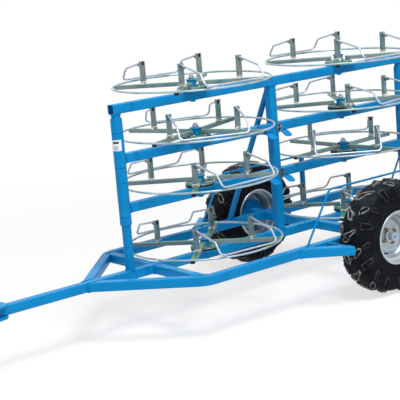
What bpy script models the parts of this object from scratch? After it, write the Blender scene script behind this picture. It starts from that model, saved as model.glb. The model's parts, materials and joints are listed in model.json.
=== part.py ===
"""Towed reel trailer for orchard and vineyard wire.

A square-tube chassis on two wheels carries eight spinning reels in two bays. The top and
bottom reels stand on the fixed beams, and the four reels between them stand on arms that
swing out to the left about round masts. Each reel has two hinged bails over its rim.

Units are metres. X runs forward to the hitch, Y to the left and Z up. Inside the trailer's
own empty, X is measured from the front mast's axis and Z from the top of the spine tube.
The world origin is on the ground, under the middle of the whole trailer.
"""
import math

import bmesh
import bpy
from mathutils import Matrix, Quaternion, Vector

# Clearances
WELD_GAP = 0.0003           # between two pieces that butt or seat on each other
RUNNING_GAP = 0.0005        # round a post or a spindle that something turns on
ARM_END_GAP = 0.002         # between a swing arm and the middle mast
SLIDE_GAP = 0.001           # round the prop leg

# Chassis tube
TUBE = 0.050
TUBE_WALL = 0.003
TUBE_CORNER = 0.006
LIGHT_TUBE = 0.025
LIGHT_WALL = 0.002
LIGHT_CORNER = 0.003

# Reel rim, which sets the size of both bays
RIM_RADIUS = 0.426          # rod centre line
RIM_ROD = 0.005
RIM_STEPS = 22

# Chassis plan
MAST_CLEARANCE = 0.213      # added to the rim's diameter between two masts
FRONT_STATION_CLEARANCE = 0.084     # from a rim's radius to its mast's axis
REAR_STATION_CLEARANCE = 0.087
RAIL_OUTSIDE_RIM = 0.0124
DRAWBAR_FRONT = 0.940
BEND_RADIUS = 0.115         # tube centre line in the rail's bends
DIAGONAL_REACH = 0.2817     # where the diagonal's centre line would meet the middle plane
REAR_MEMBER_BEHIND = 0.095  # from the rear mast's axis
CROSS_AHEAD_OF_BEND = 0.0017
AXLE_BEHIND_MIDDLE = 0.271  # from the middle mast's axis
AXLE_DROP = 0.022           # axle centre below the spine's top

# Beams and masts
TOP_BEAM_TOP = 0.876
BEAM_OVERHANG = 0.0286      # of the top beam past the outer masts' axes
UPPER_ARM_TOP = 0.616
LOWER_ARM_TOP = 0.354
POST_RADIUS = 0.025
POST_WALL = 0.0035
COLLAR_RADIUS = 0.031
COLLAR_TOP = 0.802
COLLAR_BOTTOM = 0.243
SLEEVE_ABOVE_ARM = 0.112
SLEEVE_BELOW_ARM = 0.020
BRACE_TOP = 0.8005          # brace centre line at the mast's side
BRACE_OUTSIDE_RAIL = 0.0066     # its foot from the rail's centre line
STAY_RADIUS = 0.006
STAY_TOP = 0.300
STAY_FOOT_Y = -0.220

# Rest tabs on the middle mast
TAB_LENGTH = 0.058
TAB_THICKNESS = 0.005
TAB_HALF_WIDTH = 0.025
TAB_REACH = 0.080
TAB_DROP = 0.024
TAB_FLAT = 0.030
# The lead-in beyond the flat, each as shares of the reach, the drop and the half width
TAB_LEAD_IN = ((0.52, 0.30, 1.0), (0.72, 0.80, 1.0), (0.92, 1.0, 0.92), (1.0, 1.0, 0.65))

# Wheel deflectors and guard hoops
TYRE_CLEARANCE = 0.018      # between a deflector's end and its tyre
DEFLECTOR_RUN = 0.2074      # along X, from the rail's centre line to the end
DEFLECTOR_ANGLE = math.radians(137.3)
DEFLECTOR_CAP = 0.004
DEFLECTOR_CAP_INSET = 0.0005
TIE_THICKNESS = 0.010
TIE_HEIGHT = 0.048
TIE_REACH = 0.190           # from the rail's centre line
HOOP_RADIUS = 0.006
HOOP_OUTSIDE_RIM = 0.0235
HOOP_FOOT_AHEAD = 0.488     # of the axle
HOOP_KNEE_AHEAD = 0.298
HOOP_TOP = 0.2825
HOOP_BEND = 0.040
HOOP_POST_BEHIND = 0.355

# Reels
SPOKE = 0.025               # width
SPOKE_HEIGHT = 0.022
SPOKE_BACK = 0.004          # spoke's inner end from the bore
PLATE_RADIUS = 0.058
PLATE_THICKNESS = 0.005
REEL_HUB_RADIUS = 0.045     # ring between the plate and the spokes
REEL_HUB_HEIGHT = 0.0085
UPRIGHT_INSIDE_RIM = 0.164  # upright's centre from the rim
UPRIGHT_WIDTH = 0.028
UPRIGHT_DEPTH = 0.019
UPRIGHT_TOP = 0.174         # above the beam
FORK_WIDTH = 0.012
FORK_DEPTH = 0.022
FOOT_NUT = 0.017
FOOT_NUT_HEIGHT = 0.0085
FOOT_PLATE_THICKNESS = 0.003
FOOT_PLATE_MARGIN = 0.003
# Angle of one spoke, in degrees from straight ahead, for each bay from the top down
REEL_TURN = {"front": (41, 21, 47, 42), "rear": (44.5, 54.5, 4, 41)}

# Bails
BAIL_ROD = 0.005
BAIL_INSIDE_RIM = 0.0240    # chord of the bail from the rim
BAIL_KNEE_BACK = 0.045      # from the chord back to the knee
BAIL_KNEE_DROP = 0.040      # below the hinge
BAIL_CORNER_DROP = 0.104
BAIL_KNEE_BEND = 0.020
BAIL_CORNER_BEND = 0.024
HINGE_BELOW_TOP = 0.007
LUG_LENGTH = 0.032
LUG_DROP = 0.026
LUG_THICKNESS = 0.004

# Spindles
BASE_RADIUS = 0.080
BASE_THICKNESS = 0.006
FRICTION_RADIUS = 0.0725
FRICTION_THICKNESS = 0.010
SPINDLE_RADIUS = 0.020
CAP_RADIUS = 0.030
CAP_THICKNESS = 0.009
SPINDLE_NUT_RADIUS = 0.016
SPINDLE_NUT_HEIGHT = 0.022
BOSS_RADIUS = 0.015
BOSS_HEIGHT = 0.009
SEAT_SINK = 0.001           # how far a welded piece reaches into the one it is welded to

# Wheels, measured from the wheel's middle plane outwards
WHEEL_OUTSIDE_RAIL = 0.1416
TYRE_RADIUS = 0.318
TREAD_DEPTH = 0.011
LUG_ROW_GAP = 0.012
TYRE_HALF_WIDTH = 0.0915
LUG_PITCHES = 8             # tread lugs in each of the two rows
PITCH_POINTS = 6            # of the tread's rings
SHOULDER_LUGS_PER_PITCH = 2
CROWN_THICKNESS = 0.016
CROWN_DROP = 0.003          # from the tread's middle to the inner end of the shoulder
SHOULDER_DROP = 0.022
SHOULDER_IN = 0.008         # from the casing's side
SHOULDER_LUG = 0.012
SIDEWALL_THICKNESS = 0.014
TREAD_SHARE = 0.72          # of the half width, where the shoulder starts
CASING_SHARE = 0.55         # of the half width, where the inner wall starts
SIDEWALL_SHARES = (0.60, 0.64, 0.80)    # of the tyre's radius: outer foot, inner foot, outer top
BEAD_RADIUS = 0.1385
BEAD_WIDTH = 0.026
RIM_LIP_RADIUS = 0.150
RIM_HALF_WIDTH = 0.088
RIM_WALL = 0.003
BEAD_SEAT = 0.030           # from the lip in to the drop
DROP_RADIUS = 0.122
DROP_FLANK = 0.014
DISC_OUT = 0.014
DISC_THICKNESS = 0.005
WHEEL_CIRCLE = 16           # sides of the wheel's turned shapes
HUB_FLANGE_RADIUS = 0.068
HUB_FLANGE_THICKNESS = 0.008
HUB_BARREL_RADIUS = 0.040
HUB_PLATE_RADIUS = 0.0825
HUB_PLATE_THICKNESS = 0.008
HUB_PLATE_IN = 0.028        # inboard of the wheel's middle plane
HUB_BOSS_RADIUS = 0.035
HUB_BOSS_OUT = 0.026
HUB_CAP_RADIUS = 0.025
HUB_CAP_OUT = 0.060
HUB_CAP_CHAMFER = 0.004
STUB_RADIUS = 0.026
SPINDLE_PIN_RADIUS = 0.015
SPINDLE_PIN_OUT = 0.020

# Hitch and prop stand
HITCH_BACK = 0.760
HITCH_FRONT = 1.010
HITCH_WIDTH = 0.120
HITCH_CHAMFER = 0.030
HITCH_THICKNESS = 0.009
HITCH_HOLE_RADIUS = 0.012
HITCH_HOLE_X = 0.972
PROP_X = 0.880
PROP_LEG = 0.032
PROP_SLEEVE_WALL = 0.004
PROP_SLEEVE_HEIGHT = 0.065
PROP_SLEEVE_TOP = 0.020     # above the spine's top
PROP_LEG_ABOVE = 0.060      # leg above the sleeve
PROP_FOOT = 0.090
PROP_FOOT_THICKNESS = 0.006

# Linch pins on the rear arms
PIN_RADIUS = 0.0045
PIN_LENGTH = 0.034
PIN_FROM_ARM_END = 0.008
PIN_RING_AHEAD = 0.013      # ring's centre from the pin, towards the mast
PIN_RING_WIDTH = 0.036
PIN_RING_HEIGHT = 0.050
PIN_RING_ROD = 0.0025
PIN_RING_STEPS = 10

# Derived places
MIDDLE_MAST_X = -(2 * RIM_RADIUS + MAST_CLEARANCE)
REAR_MAST_X = 2 * MIDDLE_MAST_X
FRONT_REEL_X = -(RIM_RADIUS + FRONT_STATION_CLEARANCE)
REAR_REEL_X = REAR_MAST_X + RIM_RADIUS + REAR_STATION_CLEARANCE
REEL_X = {"front": FRONT_REEL_X, "rear": REAR_REEL_X}
RAIL_Y = RIM_RADIUS + RAIL_OUTSIDE_RIM      # rail centre line
REAR_MEMBER_X = REAR_MAST_X - REAR_MEMBER_BEHIND
FRONT_CROSS_X = DIAGONAL_REACH - RAIL_Y + CROSS_AHEAD_OF_BEND
AXLE_X = MIDDLE_MAST_X - AXLE_BEHIND_MIDDLE
BRACE_FOOT_Y = -(RAIL_Y + BRACE_OUTSIDE_RAIL)
DEFLECTOR_END_X = AXLE_X + TYRE_RADIUS + TYRE_CLEARANCE
DEFLECTOR_START_X = DEFLECTOR_END_X + DEFLECTOR_RUN
TIE_END_Y = RAIL_Y + TIE_REACH
HOOP_Y = RIM_RADIUS + HOOP_OUTSIDE_RIM
HOOP_FOOT_X = AXLE_X + HOOP_FOOT_AHEAD
HOOP_KNEE_X = AXLE_X + HOOP_KNEE_AHEAD
HOOP_POST_X = AXLE_X - HOOP_POST_BEHIND
WHEEL_Y = RAIL_Y + WHEEL_OUTSIDE_RAIL
HUB_PLATE_Y = WHEEL_Y - HUB_PLATE_IN
SPOKE_END = RIM_RADIUS - RIM_ROD + SEAT_SINK
UPRIGHT_RADIUS = RIM_RADIUS - UPRIGHT_INSIDE_RIM
GROUND = -(AXLE_DROP + TYRE_RADIUS)
BEAM_CENTRE = -TUBE / 2
TOP_BEAM_BOTTOM = TOP_BEAM_TOP - TUBE
LEVEL_TOPS = (TOP_BEAM_TOP, UPPER_ARM_TOP, LOWER_ARM_TOP, 0.0)
REAR_END = REAR_MEMBER_X - TUBE / 2
LENGTH_CENTRE = (HITCH_FRONT + REAR_END) / 2
HALF_TUBE = TUBE / 2
PLATE_TOP = BASE_THICKNESS + FRICTION_THICKNESS + PLATE_THICKNESS
SPOKE_BOTTOM = PLATE_TOP + REEL_HUB_HEIGHT
SPOKE_TOP = SPOKE_BOTTOM + SPOKE_HEIGHT
HINGE_Z = UPRIGHT_TOP - HINGE_BELOW_TOP
HINGE_OUT = UPRIGHT_RADIUS * math.cos(math.radians(45))
BAIL_CORNER_OUT = RIM_RADIUS - BAIL_INSIDE_RIM - HINGE_OUT     # outward from the hinge
BAIL_KNEE_OUT = BAIL_CORNER_OUT - BAIL_KNEE_BACK
PIN_BEHIND_MAST = HALF_TUBE + ARM_END_GAP + PIN_FROM_ARM_END    # pin from the middle mast's axis
PROP_SLEEVE = PROP_LEG + 2 * (SLIDE_GAP + PROP_SLEEVE_WALL)
PROP_Y = -(HITCH_WIDTH + PROP_SLEEVE) / 2 + SEAT_SINK
BODY_CIRCLE = 12            # sides of a turned piece
SMALL_CIRCLE = 8
ROD_SIDES = 5
BEND_STEPS = 4
NOSE_STEPS = 8
SQUARE_CORNERS = ((1, 1), (-1, 1), (-1, -1), (1, -1))

BLUE = ((0.008, 0.235, 0.560), 0.32, 0.0)
ZINC = ((0.50, 0.53, 0.46), 0.38, 0.9)
BRIGHT = ((0.72, 0.75, 0.80), 0.25, 0.95)
TYRE_BLACK = ((0.018, 0.019, 0.026), 0.85, 0.0)
SILVER = ((0.62, 0.63, 0.68), 0.35, 0.7)


# ---------------------------------------------------------------- modelling helpers

def clear_scene():
    for existing in list(bpy.data.objects):
        bpy.data.objects.remove(existing, do_unlink=True)


def finish_material(name, finish):
    """Return the material of one finish: colour, roughness and metallic value."""
    colour, roughness, metallic = finish
    material = bpy.data.materials.new(name)
    material.use_nodes = True
    shader = material.node_tree.nodes["Principled BSDF"]
    shader.inputs["Base Color"].default_value = (*colour, 1.0)
    shader.inputs["Roughness"].default_value = roughness
    shader.inputs["Metallic"].default_value = metallic
    material.diffuse_color = (*colour, 1.0)
    return material


def link(name, mesh):
    thing = bpy.data.objects.new(name, mesh)
    bpy.context.scene.collection.objects.link(thing)
    return thing


def place(name, mesh, finish, location=(0, 0, 0), turn=0.0, parent=None):
    """Add a named sub-part with its own material, turned about Z in its parent's frame."""
    thing = link(name, mesh)
    thing.parent = parent
    thing.location = location
    thing.rotation_euler = (0, 0, turn)
    thing.data.materials.clear()
    thing.data.materials.append(finish_material(name, finish))
    return thing


def empty(name, location, turn=0.0, parent=None):
    pivot = link(name, None)
    pivot.parent = parent
    pivot.location = location
    pivot.rotation_euler = (0, 0, turn)
    return pivot


def closed_mesh(shape):
    """Turn the faces outwards and return the shape as a mesh."""
    bmesh.ops.recalc_face_normals(shape, faces=shape.faces)
    mesh = bpy.data.meshes.new("shape")
    shape.to_mesh(mesh)
    shape.free()
    return mesh


def joined(shapes, cutters=()):
    """Unite closed shapes into one body, cut the cutters out and return the mesh."""
    base = link("body", closed_mesh(shapes[0]))
    helpers = []
    steps = [(s, "UNION") for s in shapes[1:]] + [(c, "DIFFERENCE") for c in cutters]
    for shape, operation in steps:
        helper = link("helper", closed_mesh(shape))
        helper.hide_render = True
        helper.display_type = "WIRE"
        helpers.append(helper)
        boolean = base.modifiers.new(operation, "BOOLEAN")
        boolean.operation = operation
        boolean.solver = "EXACT"
        boolean.object = helper
    bpy.context.view_layer.update()
    evaluated = base.evaluated_get(bpy.context.evaluated_depsgraph_get())
    mesh = bpy.data.meshes.new_from_object(evaluated)
    for helper in [base, *helpers]:
        bpy.data.objects.remove(helper, do_unlink=True)
    return mesh


def smooth(mesh, angle=35):
    mesh.shade_smooth()
    mesh.set_sharp_from_angle(angle=math.radians(angle))
    return mesh


def mirrored(mesh):
    """Return a copy of a mesh mirrored across the middle plane."""
    copy = mesh.copy()
    copy.transform(Matrix.Scale(-1, 4, Vector((0, 1, 0))))
    copy.flip_normals()
    return copy


def rounded_square(side, corner, steps=1):
    """Outline of a square tube, counter-clockwise from its first corner."""
    inner = side / 2 - corner
    outline = []
    for quarter, (cx, cy) in enumerate(SQUARE_CORNERS):
        for step in range(steps + 1):
            angle = math.pi / 2 * (quarter + step / steps)
            outline.append((cx * inner + corner * math.cos(angle),
                            cy * inner + corner * math.sin(angle)))
    return outline


def circle(radius, sides=ROD_SIDES):
    return [(radius * math.cos(math.tau * (k + 0.5) / sides),
             radius * math.sin(math.tau * (k + 0.5) / sides)) for k in range(sides)]


def rectangle(width, height):
    return [(width / 2 * a, height / 2 * b) for a, b in SQUARE_CORNERS]


def rounded_path(corners, radius, steps):
    """Replace each inner corner of a polyline by an arc of the given radius."""
    corners = [Vector(c) for c in corners]
    points = [corners[0]]
    for before, corner, after in zip(corners, corners[1:], corners[2:]):
        back = (before - corner).normalized()
        ahead = (after - corner).normalized()
        half = back.angle(ahead) / 2
        centre = corner + (back + ahead).normalized() * radius / math.sin(half)
        start = corner + back * radius / math.tan(half) - centre
        end = corner + ahead * radius / math.tan(half) - centre
        turn = start.rotation_difference(end)
        points += [centre + Quaternion(turn.axis, turn.angle * step / steps) @ start
                   for step in range(steps + 1)]
    return points + [corners[-1]]


def sweep(path, outline, up=(0, 0, 1), bore=None, start_cut=None, end_cut=None):
    """Carry an outline along a path with mitred corners.

    An outline point is (across, up). A bore, an outline with as many points, makes the
    bar a tube that is open at both ends. The cuts are the normals of the end planes.
    """
    points = [Vector(p) for p in path]
    runs = [(b - a).normalized() for a, b in zip(points, points[1:])]
    across = Vector(up).cross(runs[0]).normalized()
    rise = runs[0].cross(across)
    shape = bmesh.new()
    outlines = [outline] if bore is None else [outline, bore]
    stations = []
    for index, point in enumerate(points):
        before = runs[max(index - 1, 0)]
        after = runs[min(index, len(runs) - 1)]
        plane = before + after
        if index == 0 and start_cut:
            plane = Vector(start_cut)
        if index == len(runs) and end_cut:
            plane = Vector(end_cut)
        station = []
        for ring in outlines:
            offsets = [across * a + rise * b for a, b in ring]
            station.append([shape.verts.new(
                point + o - before * (o.dot(plane) / before.dot(plane))) for o in offsets])
        stations.append(station)
        if 0 < index < len(runs):
            turn = before.rotation_difference(after)
            across.rotate(turn)
            rise.rotate(turn)
    for near, far in zip(stations, stations[1:]):
        for ring, next_ring in zip(near, far):
            strip(shape, ring, next_ring)
    for station in (stations[0], stations[-1]):
        if bore is None:
            shape.faces.new(station[0])
        else:
            strip(shape, station[0], station[1])
    return shape


def strip(shape, ring, next_ring):
    """Join two rings with a band of faces. One of them may have twice the points."""
    if len(ring) > len(next_ring):
        ring, next_ring = next_ring, ring
    count = len(ring)
    if len(next_ring) == 2 * count:
        for k in range(count):
            start, end = ring[k], ring[(k + 1) % count]
            left, middle = next_ring[2 * k], next_ring[2 * k + 1]
            right = next_ring[(2 * k + 2) % (2 * count)]
            for corners in ((start, left, middle), (start, middle, end), (end, middle, right)):
                shape.faces.new(corners)
        return
    for k in range(count):
        shape.faces.new((ring[k], ring[(k + 1) % count],
                         next_ring[(k + 1) % count], next_ring[k]))


def revolve(profile, steps=BODY_CIRCLE, loop=False, phase=0.0):
    """Turn a profile of (radius, height) points about Z.

    An open profile starts and ends on the axis. A loop leaves a bore.
    """
    shape = bmesh.new()
    rings = []
    for radius, height in profile:
        if radius == 0:
            rings.append([shape.verts.new((0, 0, height))])
            continue
        rings.append([shape.verts.new((radius * math.cos(math.tau * k / steps + phase),
                                       radius * math.sin(math.tau * k / steps + phase),
                                       height)) for k in range(steps)])
    pairs = list(zip(rings, rings[1:] + rings[:1] if loop else rings[1:]))
    for ring, next_ring in pairs:
        if len(ring) == len(next_ring):
            strip(shape, ring, next_ring)
            continue
        tip, edge = (ring, next_ring) if len(ring) == 1 else (next_ring, ring)
        for k in range(steps):
            shape.faces.new((tip[0], edge[k], edge[(k + 1) % steps]))
    return shape


def bore_radius(radius, sides=BODY_CIRCLE):
    """Corner radius of a many-sided hole whose flats clear a round of this radius."""
    return radius / math.cos(math.pi / sides)


def cylinder(radius, low, high, sides=BODY_CIRCLE, phase=0.0):
    return revolve([(0, low), (radius, low), (radius, high), (0, high)], sides, phase=phase)


def tube_ring(outer, inner, low, high, sides=BODY_CIRCLE):
    return revolve([(inner, low), (outer, low), (outer, high), (inner, high)], sides, loop=True)


def block(low, high):
    """A box between two corners."""
    shape = bmesh.new()
    bmesh.ops.create_cube(shape, size=1.0)
    size = Vector(high) - Vector(low)
    middle = (Vector(high) + Vector(low)) / 2
    bmesh.ops.scale(shape, vec=size, verts=shape.verts)
    bmesh.ops.translate(shape, vec=middle, verts=shape.verts)
    return shape


def moved(shape, location=(0, 0, 0), turn=0.0, axis="Z"):
    """Turn a shape about an axis through the origin, then move it."""
    bmesh.ops.rotate(shape, verts=shape.verts, matrix=Matrix.Rotation(turn, 3, axis))
    bmesh.ops.translate(shape, vec=Vector(location), verts=shape.verts)
    return shape


def plate(outline, low, high):
    """A flat plate cut to a plan outline."""
    shape = bmesh.new()
    bottom = [shape.verts.new((x, y, low)) for x, y in outline]
    top = [shape.verts.new((x, y, high)) for x, y in outline]
    strip(shape, bottom, top)
    shape.faces.new(bottom)
    shape.faces.new(top)
    return shape


def square_tube(path, side=TUBE, wall=TUBE_WALL, corner=TUBE_CORNER, **cuts):
    """A square tube along a path, open at both ends."""
    outline = rounded_square(side, corner)
    bore = rounded_square(side - 2 * wall, corner - wall / 2)
    return sweep(path, outline, bore=bore, **cuts)


# ---------------------------------------------------------------- chassis

def nut_boss(x, underside):
    """The round boss under a beam at a reel station."""
    return moved(cylinder(BOSS_RADIUS, -BOSS_HEIGHT, SEAT_SINK, SMALL_CIRCLE), (x, 0, underside))


def spine():
    """The drawbar and spine in one tube, with a boss under each reel station."""
    tube = square_tube([(DRAWBAR_FRONT, 0, BEAM_CENTRE),
                        (REAR_MEMBER_X + HALF_TUBE + WELD_GAP, 0, BEAM_CENTRE)])
    return joined([tube, *[nut_boss(x, -TUBE) for x in REEL_X.values()]])


def rail_path():
    return rounded_path([(DIAGONAL_REACH - HALF_TUBE - WELD_GAP, HALF_TUBE + WELD_GAP, BEAM_CENTRE),
                         (DIAGONAL_REACH - RAIL_Y, RAIL_Y, BEAM_CENTRE),
                         (REAR_MEMBER_X, RAIL_Y, BEAM_CENTRE),
                         (REAR_MEMBER_X, WELD_GAP / 2, BEAM_CENTRE)], BEND_RADIUS, BEND_STEPS)


def left_rail():
    """The left side rail: diagonal, side and half of the rear member, with the stub axle."""
    tube = square_tube(rail_path(), start_cut=(0, 1, 0))
    rail_side = RAIL_Y + HALF_TUBE
    pin_end = WHEEL_Y + SPINDLE_PIN_OUT
    stub = revolve([(0, rail_side - SEAT_SINK), (STUB_RADIUS, rail_side - SEAT_SINK),
                    (STUB_RADIUS, HUB_PLATE_Y - RUNNING_GAP),
                    (SPINDLE_PIN_RADIUS, HUB_PLATE_Y - RUNNING_GAP),
                    (SPINDLE_PIN_RADIUS, pin_end), (0, pin_end)])
    return joined([tube, axle_turned(stub)])


def axle_turned(shape):
    """Stand a turned shape on the axle's line, with its own axis along the left side's Y."""
    return moved(shape, (AXLE_X, 0, -AXLE_DROP), math.radians(-90), "X")


def cross_half(x):
    """The left half of a cross member, coped against the rail."""
    tube = square_tube([(x, HALF_TUBE + WELD_GAP, BEAM_CENTRE), (x, RAIL_Y, BEAM_CENTRE)])
    clear = rounded_square(TUBE + 2 * WELD_GAP, TUBE_CORNER)
    return joined([tube], [sweep(rail_path(), clear)])


def left_deflector():
    """The bent-out bar ahead of the left wheel and the flat tie behind it."""
    rail_side = RAIL_Y + HALF_TUBE + WELD_GAP
    slope = math.tan(DEFLECTOR_ANGLE)
    start_x = DEFLECTOR_START_X + (rail_side - RAIL_Y) / slope
    end_y = RAIL_Y + (DEFLECTOR_END_X - DEFLECTOR_START_X) * slope
    start = (start_x, rail_side, BEAM_CENTRE)
    end = (DEFLECTOR_END_X, end_y, BEAM_CENTRE)
    bar = square_tube([start, end], start_cut=(0, 1, 0), end_cut=(1, 0, 0))
    cap_ends = [(x, RAIL_Y + (x - DEFLECTOR_START_X) * slope, BEAM_CENTRE) for x in
                (DEFLECTOR_END_X + DEFLECTOR_CAP, DEFLECTOR_END_X + DEFLECTOR_CAP_INSET)]
    cap = sweep(cap_ends, rounded_square(TUBE - TUBE_WALL, TUBE_CORNER),
                start_cut=(1, 0, 0), end_cut=(1, 0, 0))
    tie_front = DEFLECTOR_END_X + DEFLECTOR_CAP + TIE_THICKNESS
    tie = block((tie_front - TIE_THICKNESS, rail_side, BEAM_CENTRE - TIE_HEIGHT / 2),
                (tie_front, TIE_END_Y, BEAM_CENTRE + TIE_HEIGHT / 2))
    return joined([bar, cap, tie])


def left_hoop():
    """The rod hoop over the rail, which keeps wire off the left tyre."""
    foot = WELD_GAP
    rod_end = HOOP_POST_X + LIGHT_TUBE / 2 - SEAT_SINK
    path = rounded_path([(HOOP_FOOT_X, HOOP_Y, foot), (HOOP_KNEE_X, HOOP_Y, HOOP_TOP),
                         (rod_end, HOOP_Y, HOOP_TOP)], HOOP_BEND, BEND_STEPS)
    rod = sweep(path, circle(HOOP_RADIUS, SMALL_CIRCLE), up=(0, 1, 0), start_cut=(0, 0, 1))
    post = sweep([(HOOP_POST_X, HOOP_Y, WELD_GAP),
                  (HOOP_POST_X, HOOP_Y, HOOP_TOP + HOOP_RADIUS)],
                 rounded_square(LIGHT_TUBE, LIGHT_CORNER), up=(0, 1, 0))
    return joined([post, rod])


def sleeve_span(arm_top):
    """Bottom and top of the sleeve of an arm."""
    return arm_top - TUBE - SLEEVE_BELOW_ARM, arm_top + SLEEVE_ABOVE_ARM


def round_mast():
    """A round post with collars that leave room for two swing-arm sleeves."""
    upper_bottom, upper_top = sleeve_span(UPPER_ARM_TOP)
    lower_bottom, lower_top = sleeve_span(LOWER_ARM_TOP)
    inside = POST_RADIUS - POST_WALL
    profile = [(inside, WELD_GAP), (POST_RADIUS, WELD_GAP)]
    collars = ((COLLAR_BOTTOM, lower_bottom), (lower_top, upper_bottom), (upper_top, COLLAR_TOP))
    for low, high in collars:
        low_face = low + (RUNNING_GAP if low != COLLAR_BOTTOM else 0)
        high_face = high - (RUNNING_GAP if high != COLLAR_TOP else 0)
        profile += [(POST_RADIUS, low_face), (COLLAR_RADIUS, low_face),
                    (COLLAR_RADIUS, high_face), (POST_RADIUS, high_face)]
    profile += [(POST_RADIUS, TOP_BEAM_BOTTOM - WELD_GAP), (inside, TOP_BEAM_BOTTOM - WELD_GAP)]
    return smooth(closed_mesh(revolve(profile, loop=True)))


def rest_tab(arm_top, direction):
    """A tab under an arm's end: flat under the arm, then bent down outwards as a lead-in."""
    top = arm_top - TUBE - RUNNING_GAP
    root_x = MIDDLE_MAST_X + direction * (HALF_TUBE - SEAT_SINK)
    middle_x = root_x + direction * (TAB_LENGTH + SEAT_SINK) / 2
    half = (TAB_LENGTH + SEAT_SINK) / 2
    stations = [(-TAB_HALF_WIDTH, 0, half), (TAB_FLAT, 0, half)]
    stations += [(TAB_REACH * reach, -TAB_DROP * drop, half * width)
                 for reach, drop, width in TAB_LEAD_IN]
    shape = bmesh.new()
    rings = []
    for y, drop, width in stations:
        z = top + drop
        rings.append([shape.verts.new((middle_x + sx * width, y, z - sz * TAB_THICKNESS))
                      for sx, sz in ((-1, 0), (1, 0), (1, 1), (-1, 1))])
    for ring, next_ring in zip(rings, rings[1:]):
        strip(shape, ring, next_ring)
    shape.faces.new(rings[0])
    shape.faces.new(rings[-1])
    return shape


def middle_mast():
    """The square middle mast with a rest tab under each of the four arm ends."""
    post = sweep([(MIDDLE_MAST_X, 0, WELD_GAP), (MIDDLE_MAST_X, 0, TOP_BEAM_BOTTOM - WELD_GAP)],
                 rounded_square(TUBE, TUBE_CORNER), up=(0, 1, 0),
                 bore=rounded_square(TUBE - 2 * TUBE_WALL, TUBE_CORNER - TUBE_WALL / 2))
    tabs = [rest_tab(arm_top, direction) for arm_top in (UPPER_ARM_TOP, LOWER_ARM_TOP)
            for direction in (1, -1)]
    return joined([post, *tabs])


def top_beam():
    tube = square_tube([(BEAM_OVERHANG, 0, TOP_BEAM_TOP - HALF_TUBE),
                        (REAR_MAST_X - BEAM_OVERHANG, 0, TOP_BEAM_TOP - HALF_TUBE)])
    return joined([tube, *[nut_boss(x, TOP_BEAM_BOTTOM) for x in REEL_X.values()]])


def mast_brace():
    """The light tube from the middle mast's right side down to the right rail."""
    mast_side = -(HALF_TUBE + WELD_GAP)
    return closed_mesh(square_tube(
        [(MIDDLE_MAST_X, mast_side, BRACE_TOP), (MIDDLE_MAST_X, BRACE_FOOT_Y, WELD_GAP)],
        LIGHT_TUBE, LIGHT_WALL, LIGHT_CORNER, start_cut=(0, 1, 0), end_cut=(0, 0, 1)))


def rear_stay():
    """The rod from the rear mast down to the rear member."""
    start = Vector((REAR_MAST_X, 0, STAY_TOP))
    end = Vector((REAR_MEMBER_X, STAY_FOOT_Y, WELD_GAP))
    outward = Vector((end.x - start.x, end.y - start.y, 0)).normalized()
    rod = sweep([start, end], circle(STAY_RADIUS, SMALL_CIRCLE), up=outward, end_cut=(0, 0, 1))
    clear = moved(cylinder(COLLAR_RADIUS + WELD_GAP, 0, COLLAR_TOP), (REAR_MAST_X, 0, 0))
    return smooth(joined([rod], [clear]))


def hitch_outline():
    """Plan of a coupling plate: chamfered rear corners and a rounded nose."""
    half = HITCH_WIDTH / 2
    nose = HITCH_FRONT - half
    outline = [(HITCH_BACK, -half + HITCH_CHAMFER), (HITCH_BACK + HITCH_CHAMFER, -half)]
    outline += [(nose + half * math.sin(math.pi * k / NOSE_STEPS),
                 -half * math.cos(math.pi * k / NOSE_STEPS)) for k in range(NOSE_STEPS + 1)]
    return outline + [(HITCH_BACK + HITCH_CHAMFER, half), (HITCH_BACK, half - HITCH_CHAMFER)]


def hitch_plate(low, *welded):
    """A coupling plate with its pin hole, and what is welded to it."""
    hole = moved(cylinder(HITCH_HOLE_RADIUS, low - TUBE, low + TUBE), (HITCH_HOLE_X, 0, 0))
    return joined([plate(hitch_outline(), low, low + HITCH_THICKNESS), *welded], [hole])


def prop_sleeve():
    """The prop stand's sleeve, welded to the right edge of the upper coupling plate."""
    inner = PROP_LEG + 2 * SLIDE_GAP
    bottom = PROP_SLEEVE_TOP - PROP_SLEEVE_HEIGHT
    return sweep([(PROP_X, PROP_Y, PROP_SLEEVE_TOP), (PROP_X, PROP_Y, bottom)],
                 rectangle(PROP_SLEEVE, PROP_SLEEVE), up=(1, 0, 0), bore=rectangle(inner, inner))


def prop_leg():
    """The prop stand's square leg on its foot plate, around the leg's own axis."""
    top = PROP_SLEEVE_TOP + PROP_LEG_ABOVE
    foot_top = GROUND + PROP_FOOT_THICKNESS
    leg = sweep([(0, 0, foot_top - SEAT_SINK), (0, 0, top)],
                rounded_square(PROP_LEG, LIGHT_CORNER), up=(0, 1, 0))
    half = PROP_FOOT / 2
    return joined([block((-half, -half, GROUND), (half, half, foot_top)), leg])


# ---------------------------------------------------------------- reel stations

def spindle_shape(sink=0.0):
    """Base disc, friction disc, spindle, flanged cap and nut, turned about the reel's axis."""
    friction_top = BASE_THICKNESS + FRICTION_THICKNESS
    cap_bottom = SPOKE_TOP + RUNNING_GAP
    cap_top = cap_bottom + CAP_THICKNESS
    nut_top = cap_top + SPINDLE_NUT_HEIGHT
    return revolve([(0, -sink), (BASE_RADIUS, -sink), (BASE_RADIUS, BASE_THICKNESS),
                    (FRICTION_RADIUS, BASE_THICKNESS), (FRICTION_RADIUS, friction_top),
                    (SPINDLE_RADIUS, friction_top), (SPINDLE_RADIUS, cap_bottom),
                    (CAP_RADIUS, cap_bottom), (CAP_RADIUS, cap_top),
                    (SPINDLE_NUT_RADIUS, cap_top), (SPINDLE_NUT_RADIUS, nut_top), (0, nut_top)])


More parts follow.
